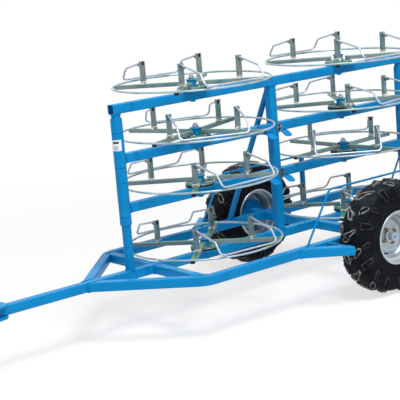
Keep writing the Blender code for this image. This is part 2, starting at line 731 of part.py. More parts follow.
def swing_arm(arm_top, mast_x, bay):
    """An arm about its mast's axis: sleeve, square tube, spindle and nut boss."""
    toward = math.copysign(1, MIDDLE_MAST_X - mast_x)
    end_x = MIDDLE_MAST_X - toward * (HALF_TUBE + ARM_END_GAP) - mast_x
    station_x = REEL_X[bay] - mast_x
    bottom, top = sleeve_span(arm_top)
    sleeve = cylinder(COLLAR_RADIUS, bottom + RUNNING_GAP, top - RUNNING_GAP)
    tube = square_tube([(toward * POST_RADIUS / 2, 0, arm_top - HALF_TUBE),
                        (end_x, 0, arm_top - HALF_TUBE)])
    spindle = moved(spindle_shape(SEAT_SINK), (station_x, 0, arm_top))
    bore = bore_radius(POST_RADIUS + RUNNING_GAP)
    cutters = [cylinder(bore, bottom - TUBE, top + TUBE)]
    if bay == "rear":
        bore = bore_radius(PIN_RADIUS + RUNNING_GAP, SMALL_CIRCLE)
        hole = moved(cylinder(bore, 0, TUBE, SMALL_CIRCLE), turn=math.radians(-90), axis="X")
        cutters.append(moved(hole, (end_x - toward * PIN_FROM_ARM_END, 0, arm_top - HALF_TUBE)))
    return smooth(joined([sleeve, tube, spindle, nut_boss(station_x, arm_top - TUBE)], cutters))


def linch_pin():
    """A pin along Y and its oval ring, around the pin's own axis at the arm's side."""
    shank = moved(cylinder(PIN_RADIUS, -PIN_LENGTH, PIN_RING_ROD, SMALL_CIRCLE),
                  turn=math.radians(-90), axis="X")
    half_w = PIN_RING_WIDTH / 2 - PIN_RING_ROD
    half_h = PIN_RING_HEIGHT / 2 - PIN_RING_ROD
    shape = bmesh.new()
    rings = []
    for k in range(PIN_RING_STEPS):
        angle = math.tau * k / PIN_RING_STEPS
        out = Vector((math.cos(angle) / half_w, 0, math.sin(angle) / half_h)).normalized()
        middle = Vector((half_w * math.cos(angle), 0, half_h * math.sin(angle)))
        rings.append([shape.verts.new(middle + out * a + Vector((0, b + 2 * PIN_RING_ROD, 0)))
                      for a, b in circle(PIN_RING_ROD)])
    for ring, next_ring in zip(rings, rings[1:] + rings[:1]):
        strip(shape, ring, next_ring)
    bar = block((-half_w, PIN_RING_ROD, -PIN_RADIUS), (half_w, 3 * PIN_RING_ROD, PIN_RADIUS))
    pieces = [moved(piece, (PIN_RING_AHEAD, 0, 0)) for piece in (bar, shape)]
    return smooth(joined([shank, *pieces]))


def upright(turn):
    """One forked upright on its foot plate and spacer, on the spoke at angle zero.

    Its wide faces look along the bail's direction, half a right angle from the spoke.
    """
    plate_low = SPOKE_TOP + FOOT_NUT_HEIGHT
    plate_top = plate_low + FOOT_PLATE_THICKNESS
    half_u, half_t = UPRIGHT_DEPTH / 2, UPRIGHT_WIDTH / 2
    wide_u, wide_t = half_u + FOOT_PLATE_MARGIN, half_t + FOOT_PLATE_MARGIN
    nut = FOOT_NUT / 2
    fork_floor = UPRIGHT_TOP - FORK_DEPTH
    shape = bmesh.new()
    levels = ((nut, nut, SPOKE_TOP - SEAT_SINK), (nut, nut, plate_low),
              (wide_u, wide_t, plate_low), (wide_u, wide_t, plate_top))
    rings = [[shape.verts.new((u * a, t * b, z)) for a, b in SQUARE_CORNERS]
             for u, t, z in levels]
    profile = [(half_t, plate_top), (-half_t, plate_top), (-half_t, UPRIGHT_TOP),
               (-FORK_WIDTH / 2, UPRIGHT_TOP), (-FORK_WIDTH / 2, fork_floor),
               (FORK_WIDTH / 2, fork_floor), (FORK_WIDTH / 2, UPRIGHT_TOP),
               (half_t, UPRIGHT_TOP)]
    front, back = ([shape.verts.new((u, t, z)) for t, z in profile] for u in (half_u, -half_u))
    rings.append([front[0], back[0], back[1], front[1]])
    for ring, next_ring in zip(rings, rings[1:]):
        strip(shape, ring, next_ring)
    shape.faces.new(rings[0])
    shape.faces.new(front)
    shape.faces.new(back)
    for k in range(1, len(profile)):
        after = (k + 1) % len(profile)
        shape.faces.new((front[k], front[after], back[after], back[k]))
    return moved(moved(shape, turn=turn), (UPRIGHT_RADIUS, 0, 0))


def reel():
    """A reel about its own axis, with its spokes along X and Y."""
    plate_low = BASE_THICKNESS + FRICTION_THICKNESS + 2 * WELD_GAP
    inner = bore_radius(SPINDLE_RADIUS + RUNNING_GAP, SMALL_CIRCLE)
    hub_top = SPOKE_BOTTOM + SEAT_SINK
    shapes = [revolve([(inner, plate_low), (PLATE_RADIUS, plate_low), (PLATE_RADIUS, PLATE_TOP),
                       (REEL_HUB_RADIUS, PLATE_TOP), (REEL_HUB_RADIUS, hub_top),
                       (inner, hub_top)], SMALL_CIRCLE, loop=True)]
    for quarter in range(4):
        turn = math.radians(90) * quarter
        spoke = block((inner + SPOKE_BACK, -SPOKE / 2, SPOKE_BOTTOM),
                      (SPOKE_END, SPOKE / 2, SPOKE_TOP))
        shapes.append(moved(spoke, turn=turn))
        toward_bail = math.radians(45 if quarter % 2 == 0 else -45)
        shapes.append(moved(upright(toward_bail), turn=turn))
    section = [(RIM_RADIUS + a, SPOKE_TOP - RIM_ROD / 2 + b) for a, b in circle(RIM_ROD)]
    shapes.append(revolve(section, RIM_STEPS, loop=True, phase=math.pi / RIM_STEPS))
    return smooth(joined(shapes))


def bail():
    """A bail about its hinge: two legs in -Y and +Y, a chord between them and two stop lugs."""
    half = HINGE_OUT
    hinge = Vector((0, -half, 0))
    knee = Vector((BAIL_KNEE_OUT, -half, -BAIL_KNEE_DROP))
    corner = Vector((BAIL_CORNER_OUT, -half, -BAIL_CORNER_DROP))
    half_way = Vector((corner.x, 0, corner.z))
    leg = rounded_path([hinge, knee, (knee + corner) / 2], BAIL_KNEE_BEND, 1)
    first = rounded_path([(knee + corner) / 2, corner, half_way], BAIL_CORNER_BEND, 2)
    points = leg[:-1] + first[1:-1]
    points += [Vector((p.x, -p.y, p.z)) for p in reversed(points)]
    rod = sweep(points, circle(BAIL_ROD), up=(0, 0, 1))
    lugs = []
    drop = -BAIL_KNEE_DROP / BAIL_KNEE_OUT
    start = UPRIGHT_DEPTH / 2 + WELD_GAP
    for side in (-half, half):
        outline = [(start, start * drop), (start + LUG_LENGTH, (start + LUG_LENGTH) * drop),
                   (start, start * drop - LUG_DROP)]
        lug = bmesh.new()
        faces = [[lug.verts.new((u, side + t, z)) for u, z in outline]
                 for t in (-LUG_THICKNESS / 2, LUG_THICKNESS / 2)]
        strip(lug, *faces)
        for face in faces:
            lug.faces.new(face)
        lugs.append(lug)
    return smooth(joined([rod, *lugs]))


# ---------------------------------------------------------------- wheels

def tyre():
    """A tyre about the axle: casing with open beads, and two rows of lugs half a pitch apart.

    Each shoulder has twice as many lugs as its row, so that every other one carries on a tread lug.
    """
    crown = TYRE_RADIUS - TREAD_DEPTH
    half = TYRE_HALF_WIDTH
    bead_in, bead_out = RIM_HALF_WIDTH - BEAD_WIDTH, RIM_HALF_WIDTH - RIM_WALL - RUNNING_GAP
    lip_clear = RIM_LIP_RADIUS + RUNNING_GAP
    steps = LUG_PITCHES * PITCH_POINTS // 2
    bead = bore_radius(BEAD_RADIUS, steps)
    outer_foot, inner_foot, outer_top = (share * TYRE_RADIUS for share in SIDEWALL_SHARES)
    plain = [(crown - CROWN_THICKNESS, CASING_SHARE * half),
             (inner_foot, half - SIDEWALL_THICKNESS), (bead, bead_in), (bead, bead_out),
             (lip_clear, bead_out), (outer_foot, half), (outer_top, half)]
    shoulder_period = PITCH_POINTS // SHOULDER_LUGS_PER_PITCH
    tread = [(crown - SHOULDER_DROP, SHOULDER_LUG, half - SHOULDER_IN, shoulder_period),
             (crown - CROWN_DROP, TREAD_DEPTH, TREAD_SHARE * half, PITCH_POINTS),
             (crown, TREAD_DEPTH, LUG_ROW_GAP / 2, PITCH_POINTS)]
    shape = bmesh.new()
    rings = []
    for side in (1, -1):
        row = [turned_ring(shape, [radius] * steps, side * y) for radius, y in plain]
        phase = 0 if side == 1 else PITCH_POINTS // 2
        for low, lug, y, period in tread:
            radii = [low + (lug if (k + phase) % period < 2 else 0) for k in range(2 * steps)]
            row.append(turned_ring(shape, radii, side * y))
        rings += row if side == 1 else reversed(row)
    for ring, next_ring in zip(rings, rings[1:] + rings[:1]):
        strip(shape, ring, next_ring)
    return smooth(closed_mesh(shape), 30)


def turned_ring(shape, radii, height):
    """A ring of points about Z, each at its own radius."""
    return [shape.verts.new((radius * math.cos(math.tau * k / len(radii)),
                             radius * math.sin(math.tau * k / len(radii)), height))
            for k, radius in enumerate(radii)]


def wheel():
    """The steel wheel: barrel with lips and drop centre, and its disc."""
    half, wall, seat = RIM_HALF_WIDTH, RIM_WALL, BEAD_RADIUS - RUNNING_GAP
    step = half - BEAD_SEAT
    outer = [(RIM_LIP_RADIUS, half), (RIM_LIP_RADIUS, half - wall), (seat, half - wall),
             (seat, step), (DROP_RADIUS, step - DROP_FLANK)]
    inner = [(DROP_RADIUS - wall, step - DROP_FLANK - wall / 2), (seat - wall, half)]
    profile = outer + [(r, -y) for r, y in reversed(outer)]
    profile += [(r, -y) for r, y in reversed(inner)] + inner
    barrel = revolve(profile, WHEEL_CIRCLE, loop=True)
    disc = tube_ring(DROP_RADIUS - wall / 2, bore_radius(HUB_BOSS_RADIUS + RUNNING_GAP, WHEEL_CIRCLE),
                     DISC_OUT - DISC_THICKNESS, DISC_OUT, WHEEL_CIRCLE)
    return smooth(joined([barrel, disc]), 30)


def hub():
    """The hub: inner plate, barrel, wheel flange, boss and grease cap."""
    plate_y = HUB_PLATE_Y - WHEEL_Y
    seat = DISC_OUT - DISC_THICKNESS - WELD_GAP
    boss_radius = HUB_BOSS_RADIUS
    bore = bore_radius(SPINDLE_PIN_RADIUS + RUNNING_GAP)
    pin_room = SPINDLE_PIN_OUT + RUNNING_GAP
    body = revolve([(0, pin_room), (bore, pin_room), (bore, plate_y), (HUB_PLATE_RADIUS, plate_y),
                    (HUB_PLATE_RADIUS, plate_y + HUB_PLATE_THICKNESS),
                    (HUB_BARREL_RADIUS, plate_y + HUB_PLATE_THICKNESS),
                    (HUB_BARREL_RADIUS, seat - HUB_FLANGE_THICKNESS),
                    (HUB_FLANGE_RADIUS, seat - HUB_FLANGE_THICKNESS),
                    (HUB_FLANGE_RADIUS, seat), (boss_radius, seat), (boss_radius, HUB_BOSS_OUT),
                    (HUB_CAP_RADIUS, HUB_BOSS_OUT),
                    (HUB_CAP_RADIUS, HUB_CAP_OUT - HUB_CAP_CHAMFER),
                    (HUB_CAP_RADIUS - HUB_CAP_CHAMFER, HUB_CAP_OUT), (0, HUB_CAP_OUT)])
    return smooth(closed_mesh(body), 30)


# ---------------------------------------------------------------- assembly

def build_chassis(trailer):
    place("spine", spine(), BLUE, parent=trailer)
    pairs = {"side_rail": left_rail(), "front_cross": cross_half(FRONT_CROSS_X),
             "axle_beam": cross_half(AXLE_X), "deflector": left_deflector(),
             "guard_hoop": left_hoop()}
    for name, mesh in pairs.items():
        place(name + "_right", mirrored(mesh), BLUE, parent=trailer)
        place(name + "_left", mesh, BLUE, parent=trailer)
    mast = round_mast()
    place("front_mast", mast, BLUE, parent=trailer)
    place("rear_mast", mast.copy(), BLUE, (REAR_MAST_X, 0, 0), parent=trailer)
    place("middle_mast", middle_mast(), BLUE, parent=trailer)
    place("top_beam", top_beam(), BLUE, parent=trailer)
    place("mast_brace", mast_brace(), BLUE, parent=trailer)
    place("rear_stay", rear_stay(), BLUE, parent=trailer)
    place("hitch_plate_upper", hitch_plate(WELD_GAP, prop_sleeve()), BLUE, parent=trailer)
    place("hitch_plate_lower", hitch_plate(-TUBE - HITCH_THICKNESS - WELD_GAP), BLUE,
          parent=trailer)
    place("prop_leg", prop_leg(), ZINC, (PROP_X, PROP_Y, 0), parent=trailer)


def build_wheels(trailer):
    tyre_mesh, wheel_mesh, hub_mesh = tyre(), wheel(), hub()
    for side, sign in (("left", 1), ("right", -1)):
        axle = empty("axle_" + side, (AXLE_X, sign * WHEEL_Y, -AXLE_DROP), parent=trailer)
        axle.rotation_euler = (math.radians(-90 * sign), 0, 0)
        place("tyre_" + side, tyre_mesh.copy(), TYRE_BLACK, parent=axle)
        place("wheel_" + side, wheel_mesh.copy(), SILVER, parent=axle)
        place("hub_" + side, hub_mesh.copy(), BLUE, parent=axle)


def build_arms(trailer):
    """Add the swing arms and return their objects by bay and level."""
    arms = {}
    for bay, mast_x in (("front", 0.0), ("rear", REAR_MAST_X)):
        for level, arm_top in ((2, UPPER_ARM_TOP), (3, LOWER_ARM_TOP)):
            arm = place(f"arm_{bay}_{level}", swing_arm(arm_top, mast_x, bay), BLUE,
                        (mast_x, 0, 0), parent=trailer)
            arms[bay, level] = arm
            if bay == "rear":
                pin_x = MIDDLE_MAST_X - mast_x - PIN_BEHIND_MAST
                place(f"linch_pin_{level}", linch_pin(), BRIGHT,
                      (pin_x, HALF_TUBE + WELD_GAP, arm_top - HALF_TUBE), parent=arm)
    return arms


def build_reels(trailer, arms):
    reel_mesh, bail_mesh = reel(), bail()
    spindle_mesh = smooth(closed_mesh(spindle_shape()))
    for bay, station_x in REEL_X.items():
        for level, beam_top in enumerate(LEVEL_TOPS, start=1):
            carrier = arms.get((bay, level), trailer)
            x = station_x - carrier.location.x if carrier is not trailer else station_x
            if carrier is trailer:
                place(f"spindle_{bay}_{level}", spindle_mesh.copy(), BLUE,
                      (x, 0, beam_top + WELD_GAP), parent=trailer)
            turn = math.radians(REEL_TURN[bay][level - 1])
            pivot = place(f"reel_{bay}_{level}", reel_mesh.copy(), ZINC, (x, 0, beam_top), turn,
                          parent=carrier)
            for letter, side in (("a", 45), ("b", 225)):
                angle = math.radians(side)
                hinge = (HINGE_OUT * math.cos(angle), HINGE_OUT * math.sin(angle), HINGE_Z)
                place(f"bail_{bay}_{level}{letter}", bail_mesh.copy(), BRIGHT, hinge, angle,
                      parent=pivot)


def main():
    clear_scene()
    trailer = empty("trailer", (-LENGTH_CENTRE, 0, -GROUND))
    build_chassis(trailer)
    build_wheels(trailer)
    build_reels(trailer, build_arms(trailer))


main()
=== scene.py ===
"""Dressed visual model of a towed reel trailer for orchard and vineyard wire.

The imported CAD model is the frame: every piece here stands for one of its nodes, or sits on
one, and rides on that node's body. Sizes are in metres. Shapes are drawn in the trailer's own
frame, where X is measured from the front mast's axis and Z from the top of the spine tube,
and each finished piece is moved into the row frame as its mesh is made.
"""
import json
import logging
import math
from dataclasses import dataclass
from enum import Enum
from typing import Callable, Iterable, Sequence

import bmesh
import bpy
from mathutils import Matrix, Quaternion, Vector


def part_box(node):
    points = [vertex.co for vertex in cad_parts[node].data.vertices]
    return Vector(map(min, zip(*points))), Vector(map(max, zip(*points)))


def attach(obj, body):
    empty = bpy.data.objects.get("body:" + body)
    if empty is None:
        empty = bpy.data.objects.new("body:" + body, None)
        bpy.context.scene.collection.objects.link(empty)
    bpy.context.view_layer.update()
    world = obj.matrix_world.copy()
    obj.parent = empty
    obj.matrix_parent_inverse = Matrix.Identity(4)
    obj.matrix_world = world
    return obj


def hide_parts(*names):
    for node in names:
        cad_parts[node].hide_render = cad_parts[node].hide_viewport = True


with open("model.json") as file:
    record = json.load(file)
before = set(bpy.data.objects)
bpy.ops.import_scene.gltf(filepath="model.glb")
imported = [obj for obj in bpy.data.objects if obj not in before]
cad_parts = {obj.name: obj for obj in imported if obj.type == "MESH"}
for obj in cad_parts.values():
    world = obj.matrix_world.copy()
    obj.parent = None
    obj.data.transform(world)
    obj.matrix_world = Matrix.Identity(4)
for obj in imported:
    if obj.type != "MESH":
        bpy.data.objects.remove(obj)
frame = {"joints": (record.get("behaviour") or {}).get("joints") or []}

LOG = logging.getLogger("reel_trailer")
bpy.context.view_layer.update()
ORIGIN = Vector((sum(c.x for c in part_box("front_mast")) / 2, 0.0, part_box("spine")[1].z))
Point = tuple[float, float]
Colour = Sequence[float]
MIX_A, MIX_B, MIX_RESULT = 6, 7, 2      # the colour sockets of a Mix node


class Region(Enum):
    """A part of the trailer, as a sign along one axis."""

    @property
    def label(self) -> str:
        """The region's name as the CAD nodes spell it."""
        return self.name.lower()


class Side(Region):
    """Left and right, as the sign of Y."""

    LEFT = 1
    RIGHT = -1


class Bay(Region):
    """The two reel bays, as the sign of X from the bay's mast to its arm's free end."""

    FRONT = -1
    REAR = 1


# ---------------------------------------------------------------- finishes

class Graph:
    """Adds, feeds and links the nodes of one tree."""

    def __init__(self, tree: bpy.types.NodeTree) -> None:
        """Hold a tree.

        Args:
            tree: a shader or geometry tree.
        """
        self.tree = tree

    def feed(self, node: bpy.types.Node, inputs: dict[str | int, object]) -> None:
        """Link a node's inputs to sockets, or set them to values."""
        for key, value in inputs.items():
            if isinstance(value, bpy.types.NodeSocket):
                self.tree.links.new(value, node.inputs[key])
            else:
                node.inputs[key].default_value = value

    def add(self, kind: str, inputs: dict[str | int, object] | None = None, **settings: object
            ) -> bpy.types.Node:
        """Add a node.

        Args:
            kind: Blender's name of the node type.
            inputs: sockets or values for its inputs.
            settings: attributes of the node.

        Returns:
            The new node.
        """
        node = self.tree.nodes.new(kind)
        for key, value in settings.items():
            setattr(node, key, value)
        self.feed(node, inputs or {})
        return node

    def maths(self, operation: str, *values: object) -> bpy.types.NodeSocket:
        """Combine sockets and numbers by a maths node and return the result's socket."""
        return self.add("ShaderNodeMath", dict(enumerate(values)), operation=operation).outputs[0]

    def spread(self, value: bpy.types.NodeSocket, low: float, high: float,
               start: float = 0.3, stop: float = 0.7) -> bpy.types.NodeSocket:
        """Map a value from start..stop to low..high and return the result's socket."""
        return self.add("ShaderNodeMapRange", {"Value": value, "From Min": start, "From Max": stop,
                                               "To Min": low, "To Max": high}).outputs["Result"]


class Sheet(Graph):
    """The shader tree of one new material."""

    def __init__(self, name: str) -> None:
        """Start a material with its shader.

        Args:
            name: name of the new material.
        """
        self.material = bpy.data.materials.new(name)
        self.material.use_nodes = True
        super().__init__(self.material.node_tree)
        self.shader = self.tree.nodes["Principled BSDF"]
        self.place = self.add("ShaderNodeTexCoord").outputs

    def noise(self, scale: float, detail: float = 3.0, stretch: Sequence[float] = (1.0, 1.0, 1.0)
              ) -> bpy.types.NodeSocket:
        """Add a noise on Object coordinates.

        Args:
            scale: size of the pattern, in features per metre.
            detail: octaves.
            stretch: factors on the three coordinates.

        Returns:
            The noise's value socket.
        """
        mapping = self.add("ShaderNodeMapping", {"Vector": self.place["Object"], "Scale": stretch})
        return self.add("ShaderNodeTexNoise", {"Vector": mapping.outputs["Vector"], "Scale": scale,
                                               "Detail": detail, "Roughness": 0.55}).outputs["Fac"]

    def ramp(self, value: bpy.types.NodeSocket, stops: Sequence[tuple[float, Colour]]
             ) -> bpy.types.NodeSocket:
        """Turn a value into a colour by places and linear colours, in order."""
        node = self.add("ShaderNodeValToRGB", {"Fac": value})
        elements = node.color_ramp.elements
        while len(elements) < len(stops):
            elements.new(0.5)
        for element, (place, colour) in zip(elements, stops):
            element.position, element.color = place, (*colour, 1.0)
        return node.outputs["Color"]

    def mix(self, share: bpy.types.NodeSocket, first: object, second: object
            ) -> bpy.types.NodeSocket:
        """Mix two colours, each a socket or a linear colour, and return the result's socket."""
        first, second = (colour if isinstance(colour, bpy.types.NodeSocket) else (*colour, 1.0)
                         for colour in (first, second))
        return self.add("ShaderNodeMix", {"Factor": share, MIX_A: first, MIX_B: second},
                        data_type="RGBA").outputs[MIX_RESULT]

    def upward(self, start: float = 0.55, stop: float = 0.95) -> bpy.types.NodeSocket:
        """Return a value that is 1 on faces that look up and 0 on the others."""
        parts = self.add("ShaderNodeSeparateXYZ", {0: self.place["Normal"]})
        return self.spread(parts.outputs["Z"], 0.0, 1.0, start, stop)

    def bump(self, height: bpy.types.NodeSocket, strength: float, distance: float) -> None:
        """Roughen the shader's normal by a height, in metres at full strength."""
        node = self.add("ShaderNodeBump", {"Height": height, "Strength": strength,
                                           "Distance": distance})
        self.feed(self.shader, {"Normal": node.outputs["Normal"]})

    def finish(self, metallic: float, roughness: Point, grain: bpy.types.NodeSocket,
               colour: bpy.types.NodeSocket, specular: float = 0.5) -> bpy.types.Material:
        """Set the shader's common sockets.

        Args:
            metallic: metallic value.
            roughness: lowest and highest roughness.
            grain: value that chooses between the two.
            colour: base colour socket.
            specular: specular level.

        Returns:
            The material.
        """
        self.feed(self.shader, {"Base Color": colour, "Metallic": metallic,
                                "Specular IOR Level": specular,
                                "Roughness": self.spread(grain, *roughness)})
        return self.material


@dataclass(frozen=True)
class Enamel:
    """Glossy sprayed enamel over steel, with slight orange peel and a painted lighter blue, in
    speckles, on faces that look up.
    """

    name: str = "blue_enamel"
    gloss: float = 0.08
    colour: Colour = (0.0030, 0.236, 0.545)
    deep: Colour = (0.0020, 0.208, 0.490)
    dust: Colour = (0.045, 0.360, 0.690)

    def material(self) -> bpy.types.Material:
        """Build the material."""
        sheet = Sheet(self.name)
        cloud = sheet.noise(5.0, 4.0)
        paint = sheet.mix(sheet.spread(cloud, 0.0, 1.0, 0.35, 0.65), self.colour, self.deep)
        # Painted top light: speckles of lighter blue on the faces that look up.
        lit_top_share = sheet.maths("MULTIPLY", sheet.upward(0.75, 1.0),
                            sheet.spread(sheet.noise(38.0, 6.0), 0.05, 0.5))
        paint = sheet.mix(lit_top_share, paint, self.dust)
        sheet.bump(sheet.noise(420.0, 2.0), 0.12, 0.0004)
        return sheet.finish(0.0, (0.26, 0.40), cloud, paint, self.gloss)


@dataclass(frozen=True)
class ZincPlate:
    """Passivated zinc on drawn steel, cloudy from straw to green, greener on top."""

    name: str = "passivated_zinc"
    straw: Colour = (0.22, 0.26, 0.23)
    steel: Colour = (0.17, 0.26, 0.29)
    sea: Colour = (0.095, 0.19, 0.22)
    bloom: Colour = (0.055, 0.33, 0.13)
    bloom_share: float = 0.95

    def material(self) -> bpy.types.Material:
        """Build the material."""
        sheet = Sheet(self.name)
        cloud = sheet.noise(14.0, 4.0)
        colour = sheet.ramp(cloud, ((0.32, self.sea), (0.48, self.steel), (0.66, self.straw)))
        fleck = sheet.spread(sheet.noise(9.0, 3.0), 0.25, 1.0, 0.35, 0.6)
        green = sheet.maths("MULTIPLY", sheet.maths("MULTIPLY", sheet.upward(), fleck),
                            self.bloom_share)
        draw = sheet.noise(260.0, 3.0, stretch=(1.0, 1.0, 0.15))
        sheet.bump(draw, 0.15, 0.0003)
        return sheet.finish(0.55, (0.30, 0.50), draw, sheet.mix(green, colour, self.bloom))


@dataclass(frozen=True)
class Clouded:
    """A finish of two clouded colours over a fine grain: plated steel, label stock or rubber."""

    name: str
    light: Colour
    dark: Colour
    metallic: float = 0.85
    roughness: Point = (0.28, 0.48)
    specular: float = 0.5
    cloud_scale: float = 90.0
    cloud_band: Point = (0.3, 0.7)
    grain: Point = (600.0, 3.0)
    grain_strength: float = 0.3
    grain_depth: float = 0.0004
    drawn: bool = False

    def material(self) -> bpy.types.Material:
        """Build the material. Drawn steel takes its roughness from the grain."""
        sheet = Sheet(self.name)
        cloud, marks = sheet.noise(self.cloud_scale, 4.0), sheet.noise(*self.grain)
        share = sheet.spread(cloud, 0.0, 1.0, *self.cloud_band)
        sheet.bump(marks, self.grain_strength, self.grain_depth)
        return sheet.finish(self.metallic, self.roughness, marks if self.drawn else cloud,
                            sheet.mix(share, self.light, self.dark), self.specular)


def rod_plate(name: str, light: Colour, dark: Colour) -> Clouded:
    """Zinc on round rod, with fine drawing marks."""
    return Clouded(name, light, dark, 0.35, (0.25, 0.40), cloud_scale=11.0,
                   cloud_band=(0.42, 0.62), grain=(500.0, 2.0), grain_strength=0.10,
                   grain_depth=0.0002, drawn=True)


@dataclass(frozen=True)
class TyreRubber:
    """Blue-black tyre rubber, dusty in patches and worn pale along the lug edges, with a bluish
    grey film on faces that look up, partly dust and partly a painted sky sheen, and painted light
    that makes the worn edges paler on top.
    """

    name: str = "tyre_rubber"
    black: Colour = (0.0036, 0.0044, 0.0068)
    dusty: Colour = (0.0095, 0.0110, 0.0150)
    worn: Colour = (0.34, 0.34, 0.32)
    grime: Colour = (0.028, 0.034, 0.045)

    def material(self) -> bpy.types.Material:
        """Build the material. The mesh's "worn" attribute marks the lug edges."""
        sheet = Sheet(self.name)
        cloud = sheet.noise(16.0, 5.0)
        colour = sheet.mix(sheet.spread(cloud, 0.0, 1.0, 0.4, 0.7), self.black, self.dusty)
        # Bluish grey film on faces that look up: partly dust, partly a painted sheen of the sky.
        film = sheet.maths("MULTIPLY", sheet.upward(0.2, 1.0),
                           sheet.spread(sheet.noise(30.0, 5.0), 0.0, 1.0))
        colour = sheet.mix(film, colour, self.grime)
        edge = sheet.add("ShaderNodeAttribute", attribute_name="worn").outputs["Fac"]
        rub = sheet.spread(sheet.noise(55.0, 4.0), 0.15, 1.0, 0.38, 0.58)
        # Painted light: the worn edges are fully pale on faces that look up and fall to 0.4 of
        # that underneath.
        lit = sheet.spread(sheet.upward(-0.9, 0.3), 0.4, 1.0, 0.0, 1.0)
        wear = sheet.maths("MULTIPLY", sheet.maths("MULTIPLY", edge, rub), lit)
        sheet.bump(sheet.noise(700.0, 3.0), 0.25, 0.0004)
        return sheet.finish(0.0, (0.46, 0.66), cloud, sheet.mix(wear, colour, self.worn), 0.055)


@dataclass(frozen=True)
class SilverPaint:
    """Silver wheel paint with fine flake and a little road film."""

    name: str = "silver_paint"
    silver: Colour = (0.43, 0.49, 0.54)
    film: Colour = (0.30, 0.34, 0.38)

    def material(self) -> bpy.types.Material:
        """Build the material."""
        sheet = Sheet(self.name)
        cloud, flake = sheet.noise(12.0, 5.0), sheet.noise(900.0, 1.0)
        colour = sheet.mix(sheet.spread(cloud, 0.0, 0.8, 0.45, 0.75), self.silver, self.film)
        sheet.bump(flake, 0.06, 0.0003)
        sheet.feed(sheet.shader, {"Coat Weight": 0.25, "Coat Roughness": 0.15})
        return sheet.finish(0.55, (0.28, 0.42), flake, colour)


class Palette:
    """All finishes of the trailer, each built once."""

    def __init__(self) -> None:
        """Build the materials."""
        self.paint = Enamel().material()
        self.zinc = ZincPlate().material()
        self.rod = rod_plate("bright_zinc_rod", (0.46, 0.54, 0.64),
                             (0.38, 0.46, 0.52)).material()
        self.pin = rod_plate("pin_steel", (0.20, 0.24, 0.26), (0.10, 0.12, 0.13)).material()
        self.rim_rod = rod_plate("tinted_zinc_rod", (0.40, 0.50, 0.58),
                                 (0.26, 0.39, 0.36)).material()
        self.tyre = TyreRubber().material()
        self.rubber = Clouded("black_rubber", (0.010, 0.010, 0.011), (0.026, 0.026, 0.028), 0.0,
                              (0.45, 0.65), 0.12, 60.0, grain=(900.0, 2.0), grain_strength=0.2,
                              grain_depth=0.0003).material()
        self.silver = SilverPaint().material()
        self.yellow = Clouded("yellow_zinc", (0.40, 0.33, 0.21), (0.18, 0.145, 0.095)).material()
        self.weld = Clouded("bright_weld", (0.82, 0.82, 0.78), (0.50, 0.50, 0.46), 0.6).material()
        self.nut = Clouded("plated_nut", (0.36, 0.41, 0.43), (0.20, 0.23, 0.24)).material()
        self.label = Clouded("blank_label", (0.80, 0.82, 0.84), (0.72, 0.75, 0.78), 0.0).material()


# ---------------------------------------------------------------- drawing helpers

SQUARE = ((1, 1), (-1, 1), (-1, -1), (1, -1))


def rounded_rectangle(width: float, height: float, corner: float, steps: int = 3
                      ) -> list[Point]:
    """Outline of a rounded rectangle, counter-clockwise.

    Args:
        width: size along the first direction.
        height: size along the second direction.
        corner: corner radius.
        steps: faces in each corner.

    Returns:
        The outline's points.
    """
    outline = []
    for quarter, (sx, sy) in enumerate(SQUARE):
        for step in range(steps + 1):
            angle = math.pi / 2 * (quarter + step / steps)
            outline.append((sx * (width / 2 - corner) + corner * math.cos(angle),
                            sy * (height / 2 - corner) + corner * math.sin(angle)))
    return outline


def circle(radius: float, sides: int = 12) -> list[Point]:
    """Outline of a circle."""
    return [(radius * math.cos(math.tau * k / sides), radius * math.sin(math.tau * k / sides))
            for k in range(sides)]


def rounded_path(corners: Sequence[Sequence[float]], radius: float, steps: int = 8
                 ) -> list[Vector]:
    """Replace each inner corner of a line by an arc.

    Args:
        corners: the line's points.
        radius: radius of the arcs.
        steps: pieces of each arc.

    Returns:
        The points of the rounded line.
    """
    line = [Vector(c) for c in corners]
    points = [line[0]]
    for before, corner, after in zip(line, line[1:], line[2:]):
        back, ahead = (before - corner).normalized(), (after - corner).normalized()
        half = back.angle(ahead) / 2
        centre = corner + (back + ahead).normalized() * radius / math.sin(half)
        start = corner + back * radius / math.tan(half) - centre
        end = corner + ahead * radius / math.tan(half) - centre
        turn = start.rotation_difference(end)
        points += [centre + Quaternion(turn.axis, turn.angle * k / steps) @ start
                   for k in range(steps + 1)]
    return points + [line[-1]]


def loft(rows: Sequence[Sequence[Sequence[float]]], closed: bool = False, capped: bool = True
         ) -> bmesh.types.BMesh:
    """Join rings of as many points by bands of faces.

    Args:
        rows: the rings of points, in order.
        closed: True to join the last ring to the first.
        capped: True to close the first and last ring of an open row with a face.

    Returns:
        The shape.
    """
    shape = bmesh.new()
    made = [[shape.verts.new(point) for point in row] for row in rows]
    for row, following in zip(made, made[1:] + made[:1] if closed else made[1:]):
        for k in range(len(row)):
            n = (k + 1) % len(row)
            shape.faces.new((row[k], row[n], following[n], following[k]))
    if capped and not closed:
        shape.faces.new(made[0])
        shape.faces.new(made[-1])
    return shape


